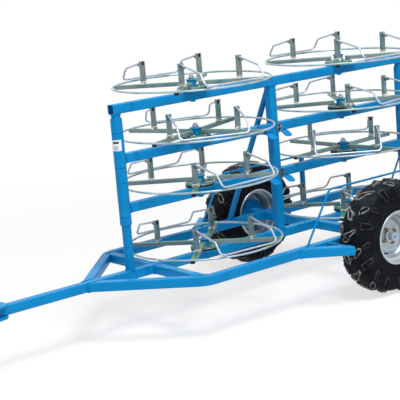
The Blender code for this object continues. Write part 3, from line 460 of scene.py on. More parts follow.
def sweep(path: Sequence[Sequence[float]], outline: Sequence[Point],
          up: Sequence[float] = (0, 0, 1), bore: Sequence[Point] = (),
          start_cut: Sequence[float] | None = None, end_cut: Sequence[float] | None = None
          ) -> bmesh.types.BMesh:
    """Carry an outline along a path with mitred corners.

    Args:
        path: the path's points.
        outline: points across and up.
        up: direction that the outline's second coordinate starts near.
        bore: outline of the inside, which makes the bar an open tube.
        start_cut: normal of the first end's plane.
        end_cut: normal of the last end's plane.

    Returns:
        The closed shape.
    """
    points = [Vector(p) for p in path]
    runs = [(b - a).normalized() for a, b in zip(points, points[1:])]
    across = Vector(up).cross(runs[0]).normalized()
    rise = runs[0].cross(across)
    outside, inside = [], []
    for index, point in enumerate(points):
        before, after = runs[max(index - 1, 0)], runs[min(index, len(runs) - 1)]
        plane = before + after
        if index == 0 and start_cut:
            plane = Vector(start_cut)
        if index == len(runs) and end_cut:
            plane = Vector(end_cut)
        for section, rows in ((outline, outside), (bore, inside)):
            offsets = [across * a + rise * b for a, b in section]
            rows.append([point + o - before * (o.dot(plane) / before.dot(plane))
                         for o in offsets])
        if 0 < index < len(runs):
            turn = before.rotation_difference(after)
            across.rotate(turn)
            rise.rotate(turn)
    return loft(outside + inside[::-1], closed=True) if bore else loft(outside)


def revolve(profile: Sequence[Point], steps: int = 32, loop: bool = False,
            phase: float = 0.0) -> bmesh.types.BMesh:
    """Turn a profile about Z.

    Args:
        profile: radius and height of each point.
        steps: faces round the axis.
        loop: True for a ring with a bore, False where the profile starts and ends on the axis.
        phase: turn of the first point, in radians.

    Returns:
        The closed shape.
    """
    turns = [math.tau * k / steps + phase for k in range(steps)]
    shape = loft([[(radius * math.cos(a), radius * math.sin(a), height) for a in turns]
                  for radius, height in (profile if loop else profile[1:-1])], loop, False)
    if not loop:
        shape.verts.ensure_lookup_table()
        for (_, height), edge in ((profile[0], shape.verts[:steps]),
                                  (profile[-1], shape.verts[-steps:])):
            tip = shape.verts.new((0, 0, height))
            for k in range(steps):
                shape.faces.new((tip, edge[k], edge[(k + 1) % steps]))
    return shape


def turned(radius: float, low: float, high: float, steps: int = 24, chamfer: float = 0.0008,
           phase: float = 0.0) -> bmesh.types.BMesh:
    """A disc or pin about Z with broken edges."""
    c = min(chamfer, radius / 3, (high - low) / 3)
    return revolve([(0, low), (radius - c, low), (radius, low + c), (radius, high - c),
                    (radius - c, high), (0, high)], steps, phase=phase)


def ring(bore: float, radius: float, low: float, high: float, steps: int, chamfer: float
         ) -> bmesh.types.BMesh:
    """A disc or sleeve about Z with a bore and broken outer edges."""
    return revolve([(bore, low), (radius - chamfer, low), (radius, low + chamfer),
                    (radius, high - chamfer), (radius - chamfer, high), (bore, high)], steps,
                   loop=True)


def block(low: Sequence[float], high: Sequence[float], edge: float = 0.0008
          ) -> bmesh.types.BMesh:
    """A box between two corners with bevelled edges."""
    shape = bmesh.new()
    bmesh.ops.create_cube(shape, size=1.0)
    bmesh.ops.scale(shape, vec=Vector(high) - Vector(low), verts=shape.verts)
    bmesh.ops.translate(shape, vec=(Vector(high) + Vector(low)) / 2, verts=shape.verts)
    bmesh.ops.bevel(shape, geom=shape.edges[:], offset=edge, segments=2, affect="EDGES",
                    clamp_overlap=True)
    return shape


def square_line(centre: Sequence[float], u: Sequence[float], v: Sequence[float]
                ) -> list[tuple[float, ...]]:
    """A closed line through the corners centre +- u +- v."""
    return [tuple(c + a * p + b * q for c, p, q in zip(centre, u, v))
            for a, b in (*SQUARE, SQUARE[0])]


def round_line(centre: Sequence[float], radii: Point, steps: int) -> list[tuple[float, ...]]:
    """A closed level line round a centre, with its two radii."""
    return [(centre[0] + radii[0] * math.cos(math.tau * k / steps),
             centre[1] + radii[1] * math.sin(math.tau * k / steps), centre[2])
            for k in range(steps + 1)]


def plate(outline: Sequence[Point], low: float, high: float, edge: float
          ) -> bmesh.types.BMesh:
    """A flat plate cut to a plan outline, with bevelled rims."""
    shape = loft([[(x, y, z) for x, y in outline] for z in (low, high)])
    shape.faces.ensure_lookup_table()
    rims = {e for cap in shape.faces[-2:] for e in cap.edges}
    bmesh.ops.bevel(shape, geom=list(rims), offset=edge, segments=1, affect="EDGES",
                    clamp_overlap=True)
    return shape


def moved(shape: bmesh.types.BMesh, place: Sequence[float] = (0, 0, 0), turn: float = 0.0,
          axis: str = "Z") -> bmesh.types.BMesh:
    """Turn a shape about an axis through the origin, then move it."""
    bmesh.ops.rotate(shape, verts=shape.verts, matrix=Matrix.Rotation(turn, 3, axis))
    bmesh.ops.translate(shape, vec=Vector(place), verts=shape.verts)
    return shape


def mirrored(shape: bmesh.types.BMesh, side: Side) -> bmesh.types.BMesh:
    """The shape as drawn for the left side, or its mirror image for the right."""
    if side is Side.RIGHT:
        for vert in shape.verts:
            vert.co.y = -vert.co.y
    return shape


def merged(meshes: Iterable[bpy.types.Mesh]) -> bpy.types.Mesh:
    """Put meshes together in one."""
    gathered = bmesh.new()
    for mesh in meshes:
        gathered.from_mesh(mesh)
    whole = bpy.data.meshes.new("whole")
    gathered.to_mesh(whole)
    gathered.free()
    return whole


def as_mesh(shapes: Iterable[bmesh.types.BMesh]) -> bpy.types.Mesh:
    """Put closed shapes together in one mesh, with the faces of each turned outwards."""
    parts = []
    for shape in shapes:
        bmesh.ops.recalc_face_normals(shape, faces=shape.faces)
        parts.append(bpy.data.meshes.new("part"))
        shape.to_mesh(parts[-1])
        shape.free()
    whole = merged(parts)
    for part in parts:
        bpy.data.meshes.remove(part)
    return whole


# ---------------------------------------------------------------- repeated pieces

class Repeater:
    """Geometry Nodes trees for what repeats: copies round an axis, and weld beads."""

    def __init__(self) -> None:
        """Build both trees."""
        self.ring = self._ring_tree()
        self.bead = self._bead_tree()

    @staticmethod
    def _start(name: str, inputs: Sequence[tuple[str, str, float | None]]
               ) -> tuple[Graph, bpy.types.NodeOutputs]:
        """Start a tree with a geometry in and out, and named inputs with their defaults."""
        tree = bpy.data.node_groups.new(name, "GeometryNodeTree")
        sockets = [("Geometry", "OUTPUT", "Geometry", None),
                   ("Geometry", "INPUT", "Geometry", None),
                   *((label, "INPUT", kind, value) for label, kind, value in inputs),
                   ("Material", "INPUT", "Material", None)]
        for label, way, kind, value in sockets:
            socket = tree.interface.new_socket(label, in_out=way, socket_type="NodeSocket" + kind)
            if value is not None:
                socket.default_value = value
        graph = Graph(tree)
        return graph, graph.add("NodeGroupInput").outputs

    @staticmethod
    def _close(graph: Graph, entry: bpy.types.NodeOutputs, copies: bpy.types.Node
               ) -> bpy.types.NodeTree:
        """End a tree in Realize Instances and Set Material, and return it."""
        real = graph.add("GeometryNodeRealizeInstances", {0: copies.outputs[0]})
        dress = graph.add("GeometryNodeSetMaterial", {"Geometry": real.outputs[0],
                                                      "Material": entry["Material"]})
        graph.add("NodeGroupOutput", {0: dress.outputs[0]})
        return graph.tree

    def _ring_tree(self) -> bpy.types.NodeTree:
        """Copies of a piece, evenly round the Z axis."""
        graph, entry = self._start("copies_round_axis", (("Count", "Int", 4),
                                                         ("Phase", "Float", 0.0)))
        line = graph.add("GeometryNodeMeshLine", {"Offset": (0, 0, 0), "Count": entry["Count"]})
        index = graph.add("GeometryNodeInputIndex").outputs[0]
        angle = graph.maths("MULTIPLY_ADD", graph.maths("DIVIDE", index, entry["Count"]), math.tau,
                            entry["Phase"])
        euler = graph.add("ShaderNodeCombineXYZ", {"Z": angle})
        copies = graph.add("GeometryNodeInstanceOnPoints", {
            "Points": line.outputs[0], "Instance": entry["Geometry"],
            "Rotation": euler.outputs[0]})
        return self._close(graph, entry, copies)

    def _bead_tree(self) -> bpy.types.NodeTree:
        """Overlapping ripples of weld metal along the edges of a mesh."""
        graph, entry = self._start("weld_bead", (("Pitch", "Float", 0.0026),
                                                 ("Radius", "Float", 0.0032), ("Seed", "Int", 7)))
        curve = graph.add("GeometryNodeMeshToCurve", {0: entry["Geometry"]})
        points = graph.add("GeometryNodeCurveToPoints", {"Curve": curve.outputs[0],
                                                         "Length": entry["Pitch"]}, mode="LENGTH")
        ripple = graph.add("GeometryNodeMeshUVSphere", {"Segments": 6, "Rings": 4,
                                                        "Radius": entry["Radius"]})
        smooth = graph.add("GeometryNodeSetShadeSmooth", {0: ripple.outputs[0]})
        size = graph.add("FunctionNodeRandomValue", {2: 0.85, 3: 1.15, "Seed": entry["Seed"]},
                         data_type="FLOAT")
        copies = graph.add("GeometryNodeInstanceOnPoints", {
            "Points": points.outputs["Points"], "Instance": smooth.outputs[0],
            "Rotation": points.outputs["Rotation"], "Scale": size.outputs[1]})
        return self._close(graph, entry, copies)

    @staticmethod
    def run(tree: bpy.types.NodeTree, mesh: bpy.types.Mesh, **values: object
            ) -> bpy.types.Mesh:
        """Run a tree on a mesh and return the plain result.

        Args:
            tree: the tree.
            mesh: its geometry input.
            values: values of the named inputs.

        Returns:
            The resulting mesh.
        """
        carrier = bpy.data.objects.new("carrier", mesh)
        bpy.context.scene.collection.objects.link(carrier)
        nodes = carrier.modifiers.new("repeat", "NODES")
        nodes.node_group = tree
        for item in tree.interface.items_tree:
            if item.item_type == "SOCKET" and item.in_out == "INPUT" and item.name in values:
                nodes[item.identifier] = values[item.name]
        bpy.context.view_layer.update()
        graph = bpy.context.evaluated_depsgraph_get()
        result = bpy.data.meshes.new_from_object(carrier.evaluated_get(graph))
        bpy.data.objects.remove(carrier, do_unlink=True)
        return result

    def round(self, shapes: Iterable[bmesh.types.BMesh], count: int, finish: bpy.types.Material,
              phase: float = 0.0) -> bpy.types.Mesh:
        """Repeat shapes round the Z axis and return the mesh."""
        return self.run(self.ring, as_mesh(shapes), Count=count, Phase=phase, Material=finish)

    def beads(self, paths: Iterable[Sequence[Sequence[float]]], finish: bpy.types.Material,
              radius: float = 0.0032) -> bpy.types.Mesh:
        """Lay weld beads along paths.

        Args:
            paths: lines of points; a line whose first and last points agree is closed.
            finish: the bead's material.
            radius: half the bead's width.

        Returns:
            The beads as one mesh.
        """
        lines = bmesh.new()
        for path in paths:
            verts = [lines.verts.new(p) for p in path]
            for start, end in zip(verts, verts[1:]):
                lines.edges.new((start, end))
        mesh = bpy.data.meshes.new("lines")
        lines.to_mesh(mesh)
        lines.free()
        return self.run(self.bead, mesh, Radius=radius, Pitch=radius * 0.8, Material=finish)


class Workshop:
    """Makes finished pieces from meshes and hangs them on the frame."""

    def __init__(self) -> None:
        """Get the palette and the repeaters ready."""
        self.palette = Palette()
        self.repeat = Repeater()
        self.count = 0

    def piece(self, name: str, mesh: bpy.types.Mesh, finish: bpy.types.Material, body: str,
              replaces: Sequence[str] = (), slot: str | None = None, angle: float = 40.0,
              place: Matrix | None = None) -> bpy.types.Object:
        """Finish a mesh as a piece of the trailer.

        Args:
            name: the piece's name.
            mesh: its mesh, in the trailer's frame once place is applied.
            finish: its material.
            body: CAD body that it rides on.
            replaces: CAD nodes that it stands for.
            slot: not used.
            angle: edges sharper than this stay sharp, in degrees.
            place: transform into the trailer's frame.

        Returns:
            The piece.
        """
        mesh = mesh.copy()
        mesh.name = name
        mesh.transform(Matrix.Translation(ORIGIN) @ (place or Matrix.Identity(4)))
        mesh.materials.clear()
        mesh.materials.append(finish)
        mesh.shade_smooth()
        mesh.set_sharp_from_angle(angle=math.radians(angle))
        thing = bpy.data.objects.new(name, mesh)
        bpy.context.scene.collection.objects.link(thing)
        weighted = thing.modifiers.new("weighted", "WEIGHTED_NORMAL")
        weighted.keep_sharp = True
        bpy.context.view_layer.update()
        graph = bpy.context.evaluated_depsgraph_get()
        thing.data = bpy.data.meshes.new_from_object(thing.evaluated_get(graph))
        thing.data.name = name
        thing.modifiers.clear()
        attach(thing, body)
        if replaces:
            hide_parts(*replaces)
        self.count += 1
        LOG.info("%s: %d faces on %s", name, len(thing.data.polygons), body)
        return thing

    def shape(self, name: str, shapes: Iterable[bmesh.types.BMesh], finish: bpy.types.Material,
              body: str, **rest: object) -> bpy.types.Object:
        """Finish drawn shapes as one piece; the further arguments are those of piece()."""
        return self.piece(name, as_mesh(shapes), finish, body, **rest)

    def painted(self, name: str, shapes: Iterable[bmesh.types.BMesh], *nodes: str,
                body: str = "chassis") -> bpy.types.Object:
        """Finish shapes as one enamelled piece that replaces the named nodes."""
        return self.shape(name, shapes, self.palette.paint, body, replaces=nodes,
                          slot="blue_paint")

    def painted_beads(self, name: str, lines: Iterable[Sequence[Sequence[float]]],
                      body: str = "chassis") -> bpy.types.Object:
        """Lay enamelled weld beads along lines as one piece."""
        return self.piece(name, self.repeat.beads(lines, self.palette.paint), self.palette.paint,
                          body, slot="blue_paint", angle=60)


@dataclass
class Mount:
    """Makes the pieces that share a body, a place and the end of their names."""

    shop: Workshop
    tag: str
    body: str
    place: Matrix

    def piece(self, label: str, mesh: bpy.types.Mesh, finish: bpy.types.Material, **rest: object
              ) -> bpy.types.Object:
        """Hang a mesh here; the further arguments are those of Workshop.piece()."""
        return self.shop.piece(f"{label}_{self.tag}", mesh, finish, self.body, place=self.place,
                               **rest)

    def shape(self, label: str, shapes: Iterable[bmesh.types.BMesh], finish: bpy.types.Material,
              **rest: object) -> bpy.types.Object:
        """Hang drawn shapes here."""
        return self.piece(label, as_mesh(shapes), finish, **rest)

    def copies(self, label: str, shapes: Iterable[bmesh.types.BMesh], count: int,
               finish: bpy.types.Material, phase: float = 0.0, **rest: object
               ) -> bpy.types.Object:
        """Hang copies of shapes, evenly round the place's Z axis."""
        mesh = self.shop.repeat.round(shapes, count, finish, phase)
        return self.piece(label, mesh, finish, **rest)


# ---------------------------------------------------------------- chassis

@dataclass
class Tube:
    """A square steel tube."""

    side: float = 0.050
    wall: float = 0.003
    corner: float = 0.0065

    def run(self, path: Sequence[Sequence[float]], up: Sequence[float] = (0, 0, 1),
            **cuts: object) -> bmesh.types.BMesh:
        """The tube along a path, open at both ends."""
        inner = self.side - 2 * self.wall
        return sweep(path, rounded_rectangle(self.side, self.side, self.corner), up,
                     rounded_rectangle(inner, inner, self.corner - self.wall / 2), **cuts)


def station_boss(x: float, underside: float) -> bmesh.types.BMesh:
    """The round boss under a beam or an arm at a reel station."""
    radius, height, sunk, chamfer = 0.015, 0.009, 0.001, 0.002
    return moved(turned(radius, -height, sunk, 20, chamfer), (x, 0, underside))


@dataclass
class Plan:
    """Places that several sub-assemblies share."""

    tube: float = 0.050
    beam: float = -0.025            # centre line of the chassis tubes
    rail_y: float = 0.4384
    rear_mast_x: float = -2.130
    middle_mast_x: float = -1.065
    rear_member_x: float = -2.225
    front_cross_x: float = -0.155
    axle_x: float = -1.336
    axle_z: float = -0.022
    wheel_y: float = 0.580
    top_beam: float = 0.876
    upper_arm: float = 0.616
    lower_arm: float = 0.354
    sleeve_below: float = 0.020     # of an arm's sleeve, under the arm and over it
    sleeve_above: float = 0.112
    front_reel_x: float = -0.510
    rear_reel_x: float = -1.617
    gap: float = 0.0003             # between welded parts, as in the CAD
    running_gap: float = 0.0007     # at each end of a turning sleeve

    @property
    def stations(self) -> Point:
        """X of the reel stations of both bays."""
        return self.front_reel_x, self.rear_reel_x

    def reel_x(self, bay: Bay) -> float:
        """X of a bay's reel stations."""
        return self.front_reel_x if bay is Bay.FRONT else self.rear_reel_x

    def mast_x(self, bay: Bay) -> float:
        """X of a bay's round mast."""
        return 0.0 if bay is Bay.FRONT else self.rear_mast_x

    def top(self, level: int) -> float:
        """Top of the beam or arm under a level, counted from the top down."""
        return (self.top_beam, self.upper_arm, self.lower_arm, 0.0)[level - 1]


@dataclass
class Assembly:
    """A sub-assembly: the workshop that makes its pieces, and the places that it shares."""

    shop: Workshop
    plan: Plan


@dataclass
class Chassis(Assembly):
    """The frame of square tube: spine, side rails, cross members, deflectors and hoops."""

    drawbar_front: float = 0.940
    diagonal_reach: float = 0.2817
    bend: float = 0.115
    deflector_start: float = -0.7926
    deflector_end: float = -1.000
    deflector_slope: float = math.tan(math.radians(137.3))
    tie_end_y: float = 0.628
    hoop_y: float = 0.4545
    hoop_rod: float = 0.006
    hoop_top: float = 0.2825
    hoop_foot: float = 0.488
    hoop_knee: float = 0.298
    hoop_post: float = 0.355
    hoop_bend: float = 0.040
    cap: float = 0.048
    stub_radii: Sequence[float] = (0.032, 0.026, 0.015)     # collar, arm and bearing pin
    bite: float = 0.001             # how far a piece runs into the tube that it is welded to

    def build(self) -> None:
        """Make every piece of the frame."""
        tube, p = Tube(), self.plan
        h = p.tube / 2
        self.shop.painted("spine_tube", [
            tube.run([(self.drawbar_front, 0, p.beam), (p.rear_member_x + h + p.gap, 0, p.beam)]),
            *(station_boss(x, -p.tube) for x in p.stations)], "spine")
        for side in Side:
            self.rail(side)
            for label, x in (("front_cross", p.front_cross_x), ("axle_beam", p.axle_x)):
                run = tube.run([(x, h, p.beam), (x, p.rail_y - h + self.bite, p.beam)])
                self.both(f"{label}_tube", label, [run], side)
            self.deflector(side)
            self.hoop(side)
        self.shop.painted_beads("frame_weld_beads", self.weld_lines())

    def both(self, name: str, node: str, shapes: Iterable[bmesh.types.BMesh], side: Side) -> None:
        """Paint shapes drawn for the left side as a piece of either side."""
        self.shop.painted(f"{name}_{side.label}", [mirrored(s, side) for s in shapes],
                          f"{node}_{side.label}")

    def rail_line(self) -> list[Vector]:
        """Centre line of the left rail, from the drawbar round to the middle of the rear."""
        p = self.plan
        h = p.tube / 2
        return rounded_path([(self.diagonal_reach - h, h, p.beam),
                             (self.diagonal_reach - p.rail_y, p.rail_y, p.beam),
                             (p.rear_member_x, p.rail_y, p.beam),
                             (p.rear_member_x, p.gap / 2, p.beam)], self.bend, 10)

    def rail(self, side: Side) -> None:
        """One side rail with its stub axle."""
        p = self.plan
        run = Tube().run(self.rail_line(), start_cut=(0, 1, 0))
        root, shoulder, end = p.rail_y + p.tube / 2, p.wheel_y - 0.0285, p.wheel_y + 0.020
        collar, arm, pin = self.stub_radii
        stub = revolve([(0, root - self.bite), (collar, root - self.bite), (collar, root + 0.004),
                        (arm, root + 0.010), (arm, shoulder), (pin, shoulder), (pin, end),
                        (0, end)], 28)
        moved(stub, (p.axle_x, 0, p.axle_z), math.radians(-90), "X")
        self.both("side_rail_tube", "side_rail", (run, stub), side)

    def deflector(self, side: Side) -> None:
        """The bent-out bar ahead of a wheel, its end cap and the flat tie behind it."""
        p, end, slope = self.plan, self.deflector_end, self.deflector_slope
        face = p.rail_y + p.tube / 2 + p.gap
        bar = Tube().run([(self.deflector_start + (face - p.rail_y) / slope, face, p.beam),
                          (end, p.rail_y + (end - self.deflector_start) * slope, p.beam)],
                         start_cut=(0, 1, 0), end_cut=(1, 0, 0))
        cap_line = [(x, p.rail_y + (x - self.deflector_start) * slope, p.beam)
                    for x in (end + 0.003, end + 0.0002)]
        cap = sweep(cap_line, rounded_rectangle(self.cap, self.cap, 0.006), start_cut=(1, 0, 0),
                    end_cut=(1, 0, 0))
        tie = block((end + 0.004, face, p.beam - self.cap / 2),
                    (end + 0.014, self.tie_end_y, p.beam + self.cap / 2), 0.001)
        self.both("deflector_bar", "deflector", (bar, cap, tie), side)

    def hoop(self, side: Side) -> None:
        """The rod hoop over a rail and the post at its rear end."""
        p, y, top = self.plan, self.hoop_y, self.hoop_top
        post_x = p.axle_x - self.hoop_post
        line = rounded_path([(p.axle_x + self.hoop_foot, y, p.gap),
                             (p.axle_x + self.hoop_knee, y, top), (post_x + 0.004, y, top)],
                            self.hoop_bend, 10)
        rod = sweep(line, circle(self.hoop_rod, 16), up=(0, 1, 0), start_cut=(0, 0, 1))
        post = sweep([(post_x, y, p.gap), (post_x, y, top + self.hoop_rod)],
                     rounded_rectangle(p.tube / 2, p.tube / 2, 0.003), up=(0, 1, 0))
        self.both("guard_hoop_rod", "guard_hoop", (rod, post), side)

    def weld_lines(self) -> list[list[tuple[float, ...]]]:
        """The lines along which the tubes of the frame are welded."""
        p, h = self.plan, self.plan.tube / 2
        lift = 0.001                    # a bead's line stands this far from the faces
        up, miter = (0, 0, h), 1.414    # a cut at 45 degrees is this much longer
        lines = []
        for s in (1, -1):
            for x in (p.front_cross_x, p.axle_x):
                lines += [square_line((x, s * y, p.beam), (h, 0, 0), up)
                          for y in (h + lift, p.rail_y - h - lift)]
            lines.append(square_line((self.diagonal_reach - h, s * (h + lift), p.beam),
                                     (miter * h, 0, 0), up))
            front = self.deflector_start + h / self.deflector_slope
            lines.append(square_line((front, s * (p.rail_y + h + lift), p.beam), (1.3 * h, 0, 0),
                                     up))
            lines.append(square_line((p.axle_x - self.hoop_post, s * self.hoop_y, 1.5 * lift),
                                     (h / 2, 0, 0), (0, s * h / 2, 0)))
            lines.append(round_line((p.axle_x + self.hoop_foot, s * self.hoop_y, lift),
                                    (0.010, 0.008), 12))
        lines.append(square_line((p.rear_member_x + h + lift, 0, p.beam), (0, h, 0), up))
        for z, radius in ((1.5 * lift, 0.0265), (p.top_beam - p.tube - 1.5 * lift, 0.0262)):
            lines += [round_line((x, 0, z), (radius, radius), 24) for x in (0.0, p.rear_mast_x)]
            lines.append(square_line((p.middle_mast_x, 0, z), (h, 0, 0), (0, h, 0)))
        return lines


@dataclass
class Superstructure(Assembly):
    """The masts, top beam, brace and stay, and a bare label with plain bars."""

    post: float = 0.025
    collar: float = 0.031
    wall: float = 0.0035
    collar_bottom: float = 0.243
    collar_top: float = 0.802
    overhang: float = 0.0286
    tab_length: float = 0.058
    tab_reach: float = 0.080
    tab_setback: float = 0.009
    tab_step: float = 0.026         # from here out a tab stands clear of the mast by its setback
    tab_drop: float = 0.024
    tab_narrowing: float = 0.013
    tab_flat: float = 0.030
    tab_thickness: float = 0.005
    brace_top: float = 0.8005
    brace_foot: float = 0.445
    stay_top: float = 0.300
    stay_foot: float = 0.220
    label: Sequence[float] = (0.638, 0.695, -16.0, 86.0, 0.0005)    # as patch() takes them
    bars: Sequence[Sequence[float]] = ((0.676, 0.686, 2.0, 60.0, 0.0008),
                                       (0.646, 0.648, 8.0, 54.0, 0.0008),
                                       (0.653, 0.655, 8.0, 54.0, 0.0008),
                                       (0.660, 0.662, 8.0, 54.0, 0.0008))

    def build(self) -> None:
        """Make every piece above the chassis that doesn't move, and the label."""
        p, shop = self.plan, self.shop
        h = p.tube / 2
        beam_z = p.top_beam - h
        for label, x in (("front", 0.0), ("rear", p.rear_mast_x)):
            shop.painted(f"{label}_mast_post", [moved(self.mast(), (x, 0, 0))], f"{label}_mast")
        shop.painted("top_beam_tube", [
            Tube().run([(self.overhang, 0, beam_z), (p.rear_mast_x - self.overhang, 0, beam_z)]),
            *(station_boss(x, p.top_beam - p.tube) for x in p.stations)], "top_beam")
        tube = Tube().run([(p.middle_mast_x, 0, z) for z in (p.gap, p.top_beam - p.tube - p.gap)],
                          up=(0, 1, 0))
        tabs = [self.tab(top, direction) for top in (p.upper_arm, p.lower_arm)
                for direction in (1, -1)]
        shop.painted("middle_mast_post", [tube, *tabs], "middle_mast")
        brace = Tube(0.025, 0.002, 0.003).run([(p.middle_mast_x, -h - p.gap, self.brace_top),
                                               (p.middle_mast_x, -self.brace_foot, p.gap)],
                                              start_cut=(0, 1, 0), end_cut=(0, 0, 1))
        shop.painted("mast_brace_tube", [brace], "mast_brace")
        foot = Vector((p.rear_member_x, -self.stay_foot, p.gap))
        top = Vector((p.rear_mast_x, 0, self.stay_top))
        away = Vector((foot.x - top.x, foot.y, 0)).normalized()
        start = top + (foot - top) * (self.collar / (foot - top).to_2d().length)
        stay = sweep([start, foot], circle(0.006, 14), up=away, end_cut=(0, 0, 1))
        shop.painted("rear_stay_rod", [stay], "rear_stay")
        shop.shape("mast_label", [self.patch(*self.label)], shop.palette.label,
                   "swing_arm_front_2")
        shop.shape("label_bars", [self.patch(*bar) for bar in self.bars], shop.palette.rubber,
                   "swing_arm_front_2")

    def spans(self) -> list[tuple[float, float]]:
        """Bottom and top of each collar on a round mast."""
        p = self.plan
        lower, upper = ((arm - p.tube - p.sleeve_below, arm + p.sleeve_above)
                        for arm in (p.lower_arm, p.upper_arm))
        return [(self.collar_bottom, lower[0]), (lower[1], upper[0]), (upper[1], self.collar_top)]

    def mast(self) -> bmesh.types.BMesh:
        """A round post with its welded collars, about its own axis."""
        inside, edge, gap = self.post - self.wall, 0.0012, self.plan.running_gap
        end = self.plan.top_beam - self.plan.tube - self.plan.gap
        profile = [(inside, self.plan.gap), (self.post, self.plan.gap)]
        for low, high in self.spans():
            low += gap if low != self.collar_bottom else 0
            high -= gap if high != self.collar_top else 0
            profile += [(self.post, low), (self.collar - edge, low), (self.collar, low + edge),
                        (self.collar, high - edge), (self.collar - edge, high), (self.post, high)]
        profile += [(self.post, end), (inside, end)]
        return revolve(profile, 40, loop=True)

    def tab(self, arm_top: float, direction: int) -> bmesh.types.BMesh:
        """A rest tab: flat under an arm's end, then bent down outwards as a lead-in."""
        p = self.plan
        top = arm_top - p.tube - 0.0005
        root = p.middle_mast_x + direction * (p.tube / 2 - 0.001)
        tip = p.middle_mast_x + direction * (p.tube / 2 + self.tab_length)
        rows = [(-p.tube / 2, 0.0, 0.0), (self.tab_flat, 0.0, 0.0)]
        for t in [k / 8 for k in range(1, 9)]:      # down by a smooth step, narrower at the end
            rows.append((self.tab_flat + (self.tab_reach - self.tab_flat) * t,
                         -self.tab_drop * (3 * t * t - 2 * t ** 3) ** 0.8,
                         self.tab_narrowing * max(0.0, (t - 0.6) / 0.4) ** 2.2))
        rings = []
        for y, drop, draw in rows:
            near = self.tab_setback * min(max((y - self.tab_step) / 0.004, 0.0), 1.0)
            a, b, z = root + direction * (draw + near), tip - direction * draw, top + drop
            rings.append(((a, y, z), (b, y, z), (b, y, z - self.tab_thickness),
                          (a, y, z - self.tab_thickness)))
        return loft(rings)

    def patch(self, low: float, high: float, start: float, stop: float, lift: float
              ) -> bmesh.types.BMesh:
        """A thin patch bent round the upper arm's sleeve.

        Args:
            low: bottom of the patch.
            high: top of the patch.
            start: angle of its first edge, in degrees.
            stop: angle of its last edge, in degrees.
            lift: distance of its face from the sleeve.

        Returns:
            The patch.
        """
        columns, outer = 16, self.collar + lift
        inner = outer * (1 - 0.0004 / self.collar)
        rings = []
        for k in range(columns + 1):
            angle = math.radians(start + (stop - start) * k / columns)
            rings.append([(r * math.cos(angle), r * math.sin(angle), z)
                          for r, z in ((outer, low), (outer, high), (inner, high), (inner, low))])
        return loft(rings)


@dataclass
class Hitch(Assembly):
    """The coupling plates, the prop stand's sleeve and the prop leg."""

    back: float = 0.760
    front: float = 1.010
    width: float = 0.120
    chamfer: float = 0.030
    thickness: float = 0.009
    hole: float = 0.012
    hole_x: float = 0.972
    prop_x: float = 0.880
    leg: float = 0.032
    leg_top: float = 0.080
    foot: float = 0.090
    sleeve_wall: float = 0.004
    slide: float = 0.001

    @property
    def prop_y(self) -> float:
        """Y of the prop leg's axis."""
        return -(self.width + self.leg + 2 * (self.slide + self.sleeve_wall)) / 2 + 0.001

    def outline(self) -> list[Point]:
        """Plan of a coupling plate."""
        half = self.width / 2
        nose = self.front - half
        points = [(self.back, -half + self.chamfer), (self.back + self.chamfer, -half)]
        points += [(nose + half * math.sin(math.pi * k / 24), -half * math.cos(math.pi * k / 24))
                   for k in range(25)]
        return points + [(self.back + self.chamfer, half), (self.back, half - self.chamfer)]

    def coupling(self, low: float) -> bmesh.types.BMesh:
        """One coupling plate with its pin hole, as a band between outline and hole."""
        outline, high = self.outline(), low + self.thickness
        turns = [math.tau * k / 48 for k in range(48)]
        outer = [self.hit(Vector((math.cos(a), math.sin(a))), outline) for a in turns]
        hole = [(self.hole_x + self.hole * math.cos(a), self.hole * math.sin(a)) for a in turns]
        return loft([[(x, y, z) for x, y in row]
                     for row, z in ((outer, low), (outer, high), (hole, high), (hole, low))],
                    closed=True)

    def hit(self, ray: Vector, outline: Sequence[Point]) -> Point:
        """Where a ray from the pin hole's middle meets the outline."""
        best, tiny = math.inf, 1e-9
        for (ax, ay), (bx, by) in zip(outline, outline[1:] + outline[:1]):
            ex, ey = bx - ax, by - ay
            det = ray.x * -ey + ray.y * ex
            if abs(det) < tiny:
                continue
            dx, dy = ax - self.hole_x, ay
            t = (dx * -ey + dy * ex) / det
            s = (ray.x * dy - ray.y * dx) / det
            if t > 0 and -tiny <= s <= 1 + tiny:
                best = min(best, t)
        return self.hole_x + ray.x * best, ray.y * best

    def build(self) -> None:
        """Make the plates, the sleeve with its clamp bolt, and the leg."""
        p, shop = self.plan, self.shop
        inner = self.leg + 2 * self.slide
        outer = inner + 2 * self.sleeve_wall
        sleeve = sweep([(self.prop_x, self.prop_y, 0.020), (self.prop_x, self.prop_y, -0.045)],
                       rounded_rectangle(outer, outer, 0.003), up=(1, 0, 0),
                       bore=rounded_rectangle(inner, inner, 0.0015))
        shop.painted("coupling_plate_upper", [self.coupling(p.gap), sleeve], "hitch_plate_upper")
        shop.painted("coupling_plate_lower", [self.coupling(-p.tube - self.thickness - p.gap)],
                     "hitch_plate_lower")
        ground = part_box("prop_leg")[0].z - ORIGIN.z
        half = self.foot / 2
        leg = sweep([(self.prop_x, self.prop_y, z) for z in (ground + 0.005, self.leg_top)],
                    rounded_rectangle(self.leg, self.leg, 0.004), up=(0, 1, 0),
                    bore=rounded_rectangle(self.leg - 0.006, self.leg - 0.006, 0.0025))
        foot = block((self.prop_x - half, self.prop_y - half, ground),
                     (self.prop_x + half, self.prop_y + half, ground + 0.006), 0.001)
        shop.shape("prop_leg_tube", [leg, foot], shop.palette.zinc, "prop_stand",
                   replaces=["prop_leg"], slot="zinc")
        bolt, head = turned(0.005, 0.0, 0.020, 16), turned(0.010, 0.012, 0.020, 6, 0.0012)
        spot = (self.prop_x, self.prop_y - outer / 2 + 0.002, -0.012)
        shop.shape("prop_clamp_bolt",
                   [moved(s, spot, math.radians(90), "X") for s in (bolt, head)],
                   shop.palette.yellow, "chassis")


# ---------------------------------------------------------------- reel stations

